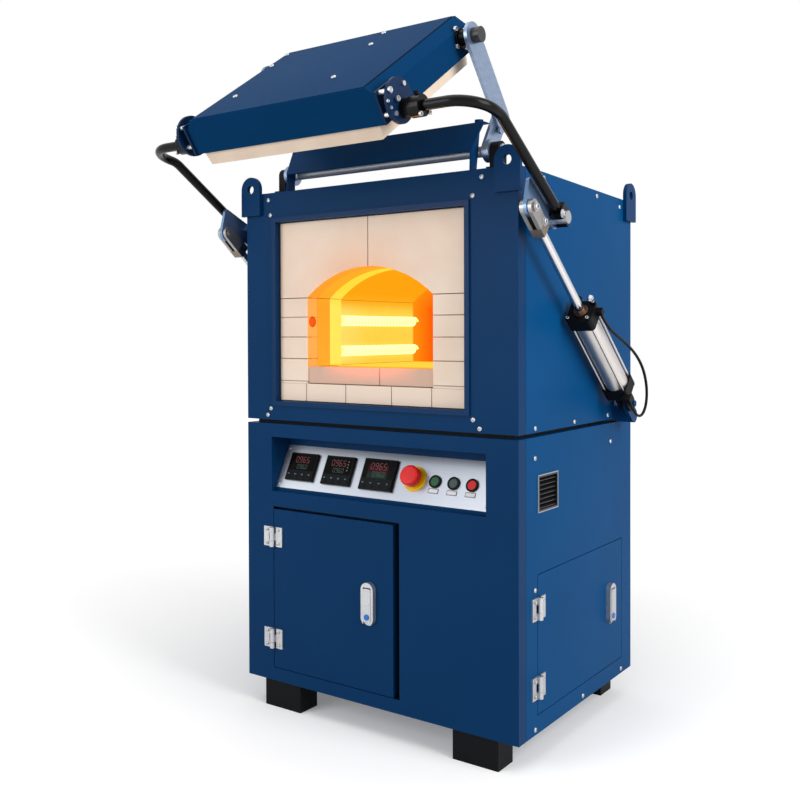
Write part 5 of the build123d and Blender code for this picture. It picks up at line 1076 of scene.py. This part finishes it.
def seen_directly(tree):
    """1 for camera, glossy and transmission rays, which see the plain white studio."""
    path = tree.nodes.new("ShaderNodeLightPath")
    total = None
    for ray in ("Is Camera Ray", "Is Glossy Ray", "Is Transmission Ray"):
        if total is None:
            total = path.outputs[ray]
        else:
            larger = tree.nodes.new("ShaderNodeMath")
            larger.operation = "MAXIMUM"
            tree.links.new(total, larger.inputs[0])
            tree.links.new(path.outputs[ray], larger.inputs[1])
            total = larger.outputs[0]
    return total


choose = sky.nodes.new("ShaderNodeMixShader")
sky.links.new(seen_directly(sky), choose.inputs[0])
sky.links.new(background.outputs[0], choose.inputs[1])
sky.links.new(seen.outputs[0], choose.inputs[2])
sky.links.new(choose.outputs[0], sky.nodes["World Output"].inputs["Surface"])

floor_mesh = bpy.data.meshes.new("studio_floor")
reach = 14.0
floor_corners = [(-reach, -reach, 0), (reach, -reach, 0), (reach, reach, 0), (-reach, reach, 0)]
floor_mesh.from_pydata(floor_corners, [], [(0, 1, 2, 3)])
floor = bpy.data.objects.new("studio_floor", floor_mesh)
bpy.context.scene.collection.objects.link(floor)
floor_paint = Finish("studio_floor", Base_Color=(0.6, 0.6, 0.6, 1), Roughness=0.9, Specular_IOR_Level=0.0)
floor_tree = floor_paint.tree
white_floor = floor_tree.nodes.new("ShaderNodeBsdfPrincipled")
white_floor.inputs["Base Color"].default_value = (0.9, 0.9, 0.9, 1)
white_floor.inputs["Roughness"].default_value = 0.9
white_floor.inputs["Specular IOR Level"].default_value = 0.0
white_floor.inputs["Emission Strength"].default_value = 1.0
floor_away = (floor_paint.axis("X") ** 2 + (floor_paint.axis("Y") - 0.3) ** 2) ** 0.5
floor_lift = floor_paint.mix(floor_away.ramp(0.5, 3.2), (0.18, 0.18, 0.18, 1), (0.66, 0.66, 0.66, 1))
floor_paint.feed(white_floor.inputs["Emission Color"], floor_lift)
floor_mix = floor_tree.nodes.new("ShaderNodeMixShader")
floor_tree.links.new(seen_directly(floor_tree), floor_mix.inputs[0])
floor_tree.links.new(floor_paint.shader.outputs[0], floor_mix.inputs[1])
floor_tree.links.new(white_floor.outputs[0], floor_mix.inputs[2])
floor_tree.links.new(floor_mix.outputs[0], floor_tree.nodes["Material Output"].inputs["Surface"])
floor_mesh.materials.append(floor_paint.material)

bpy.context.scene.view_settings.view_transform = "Standard"
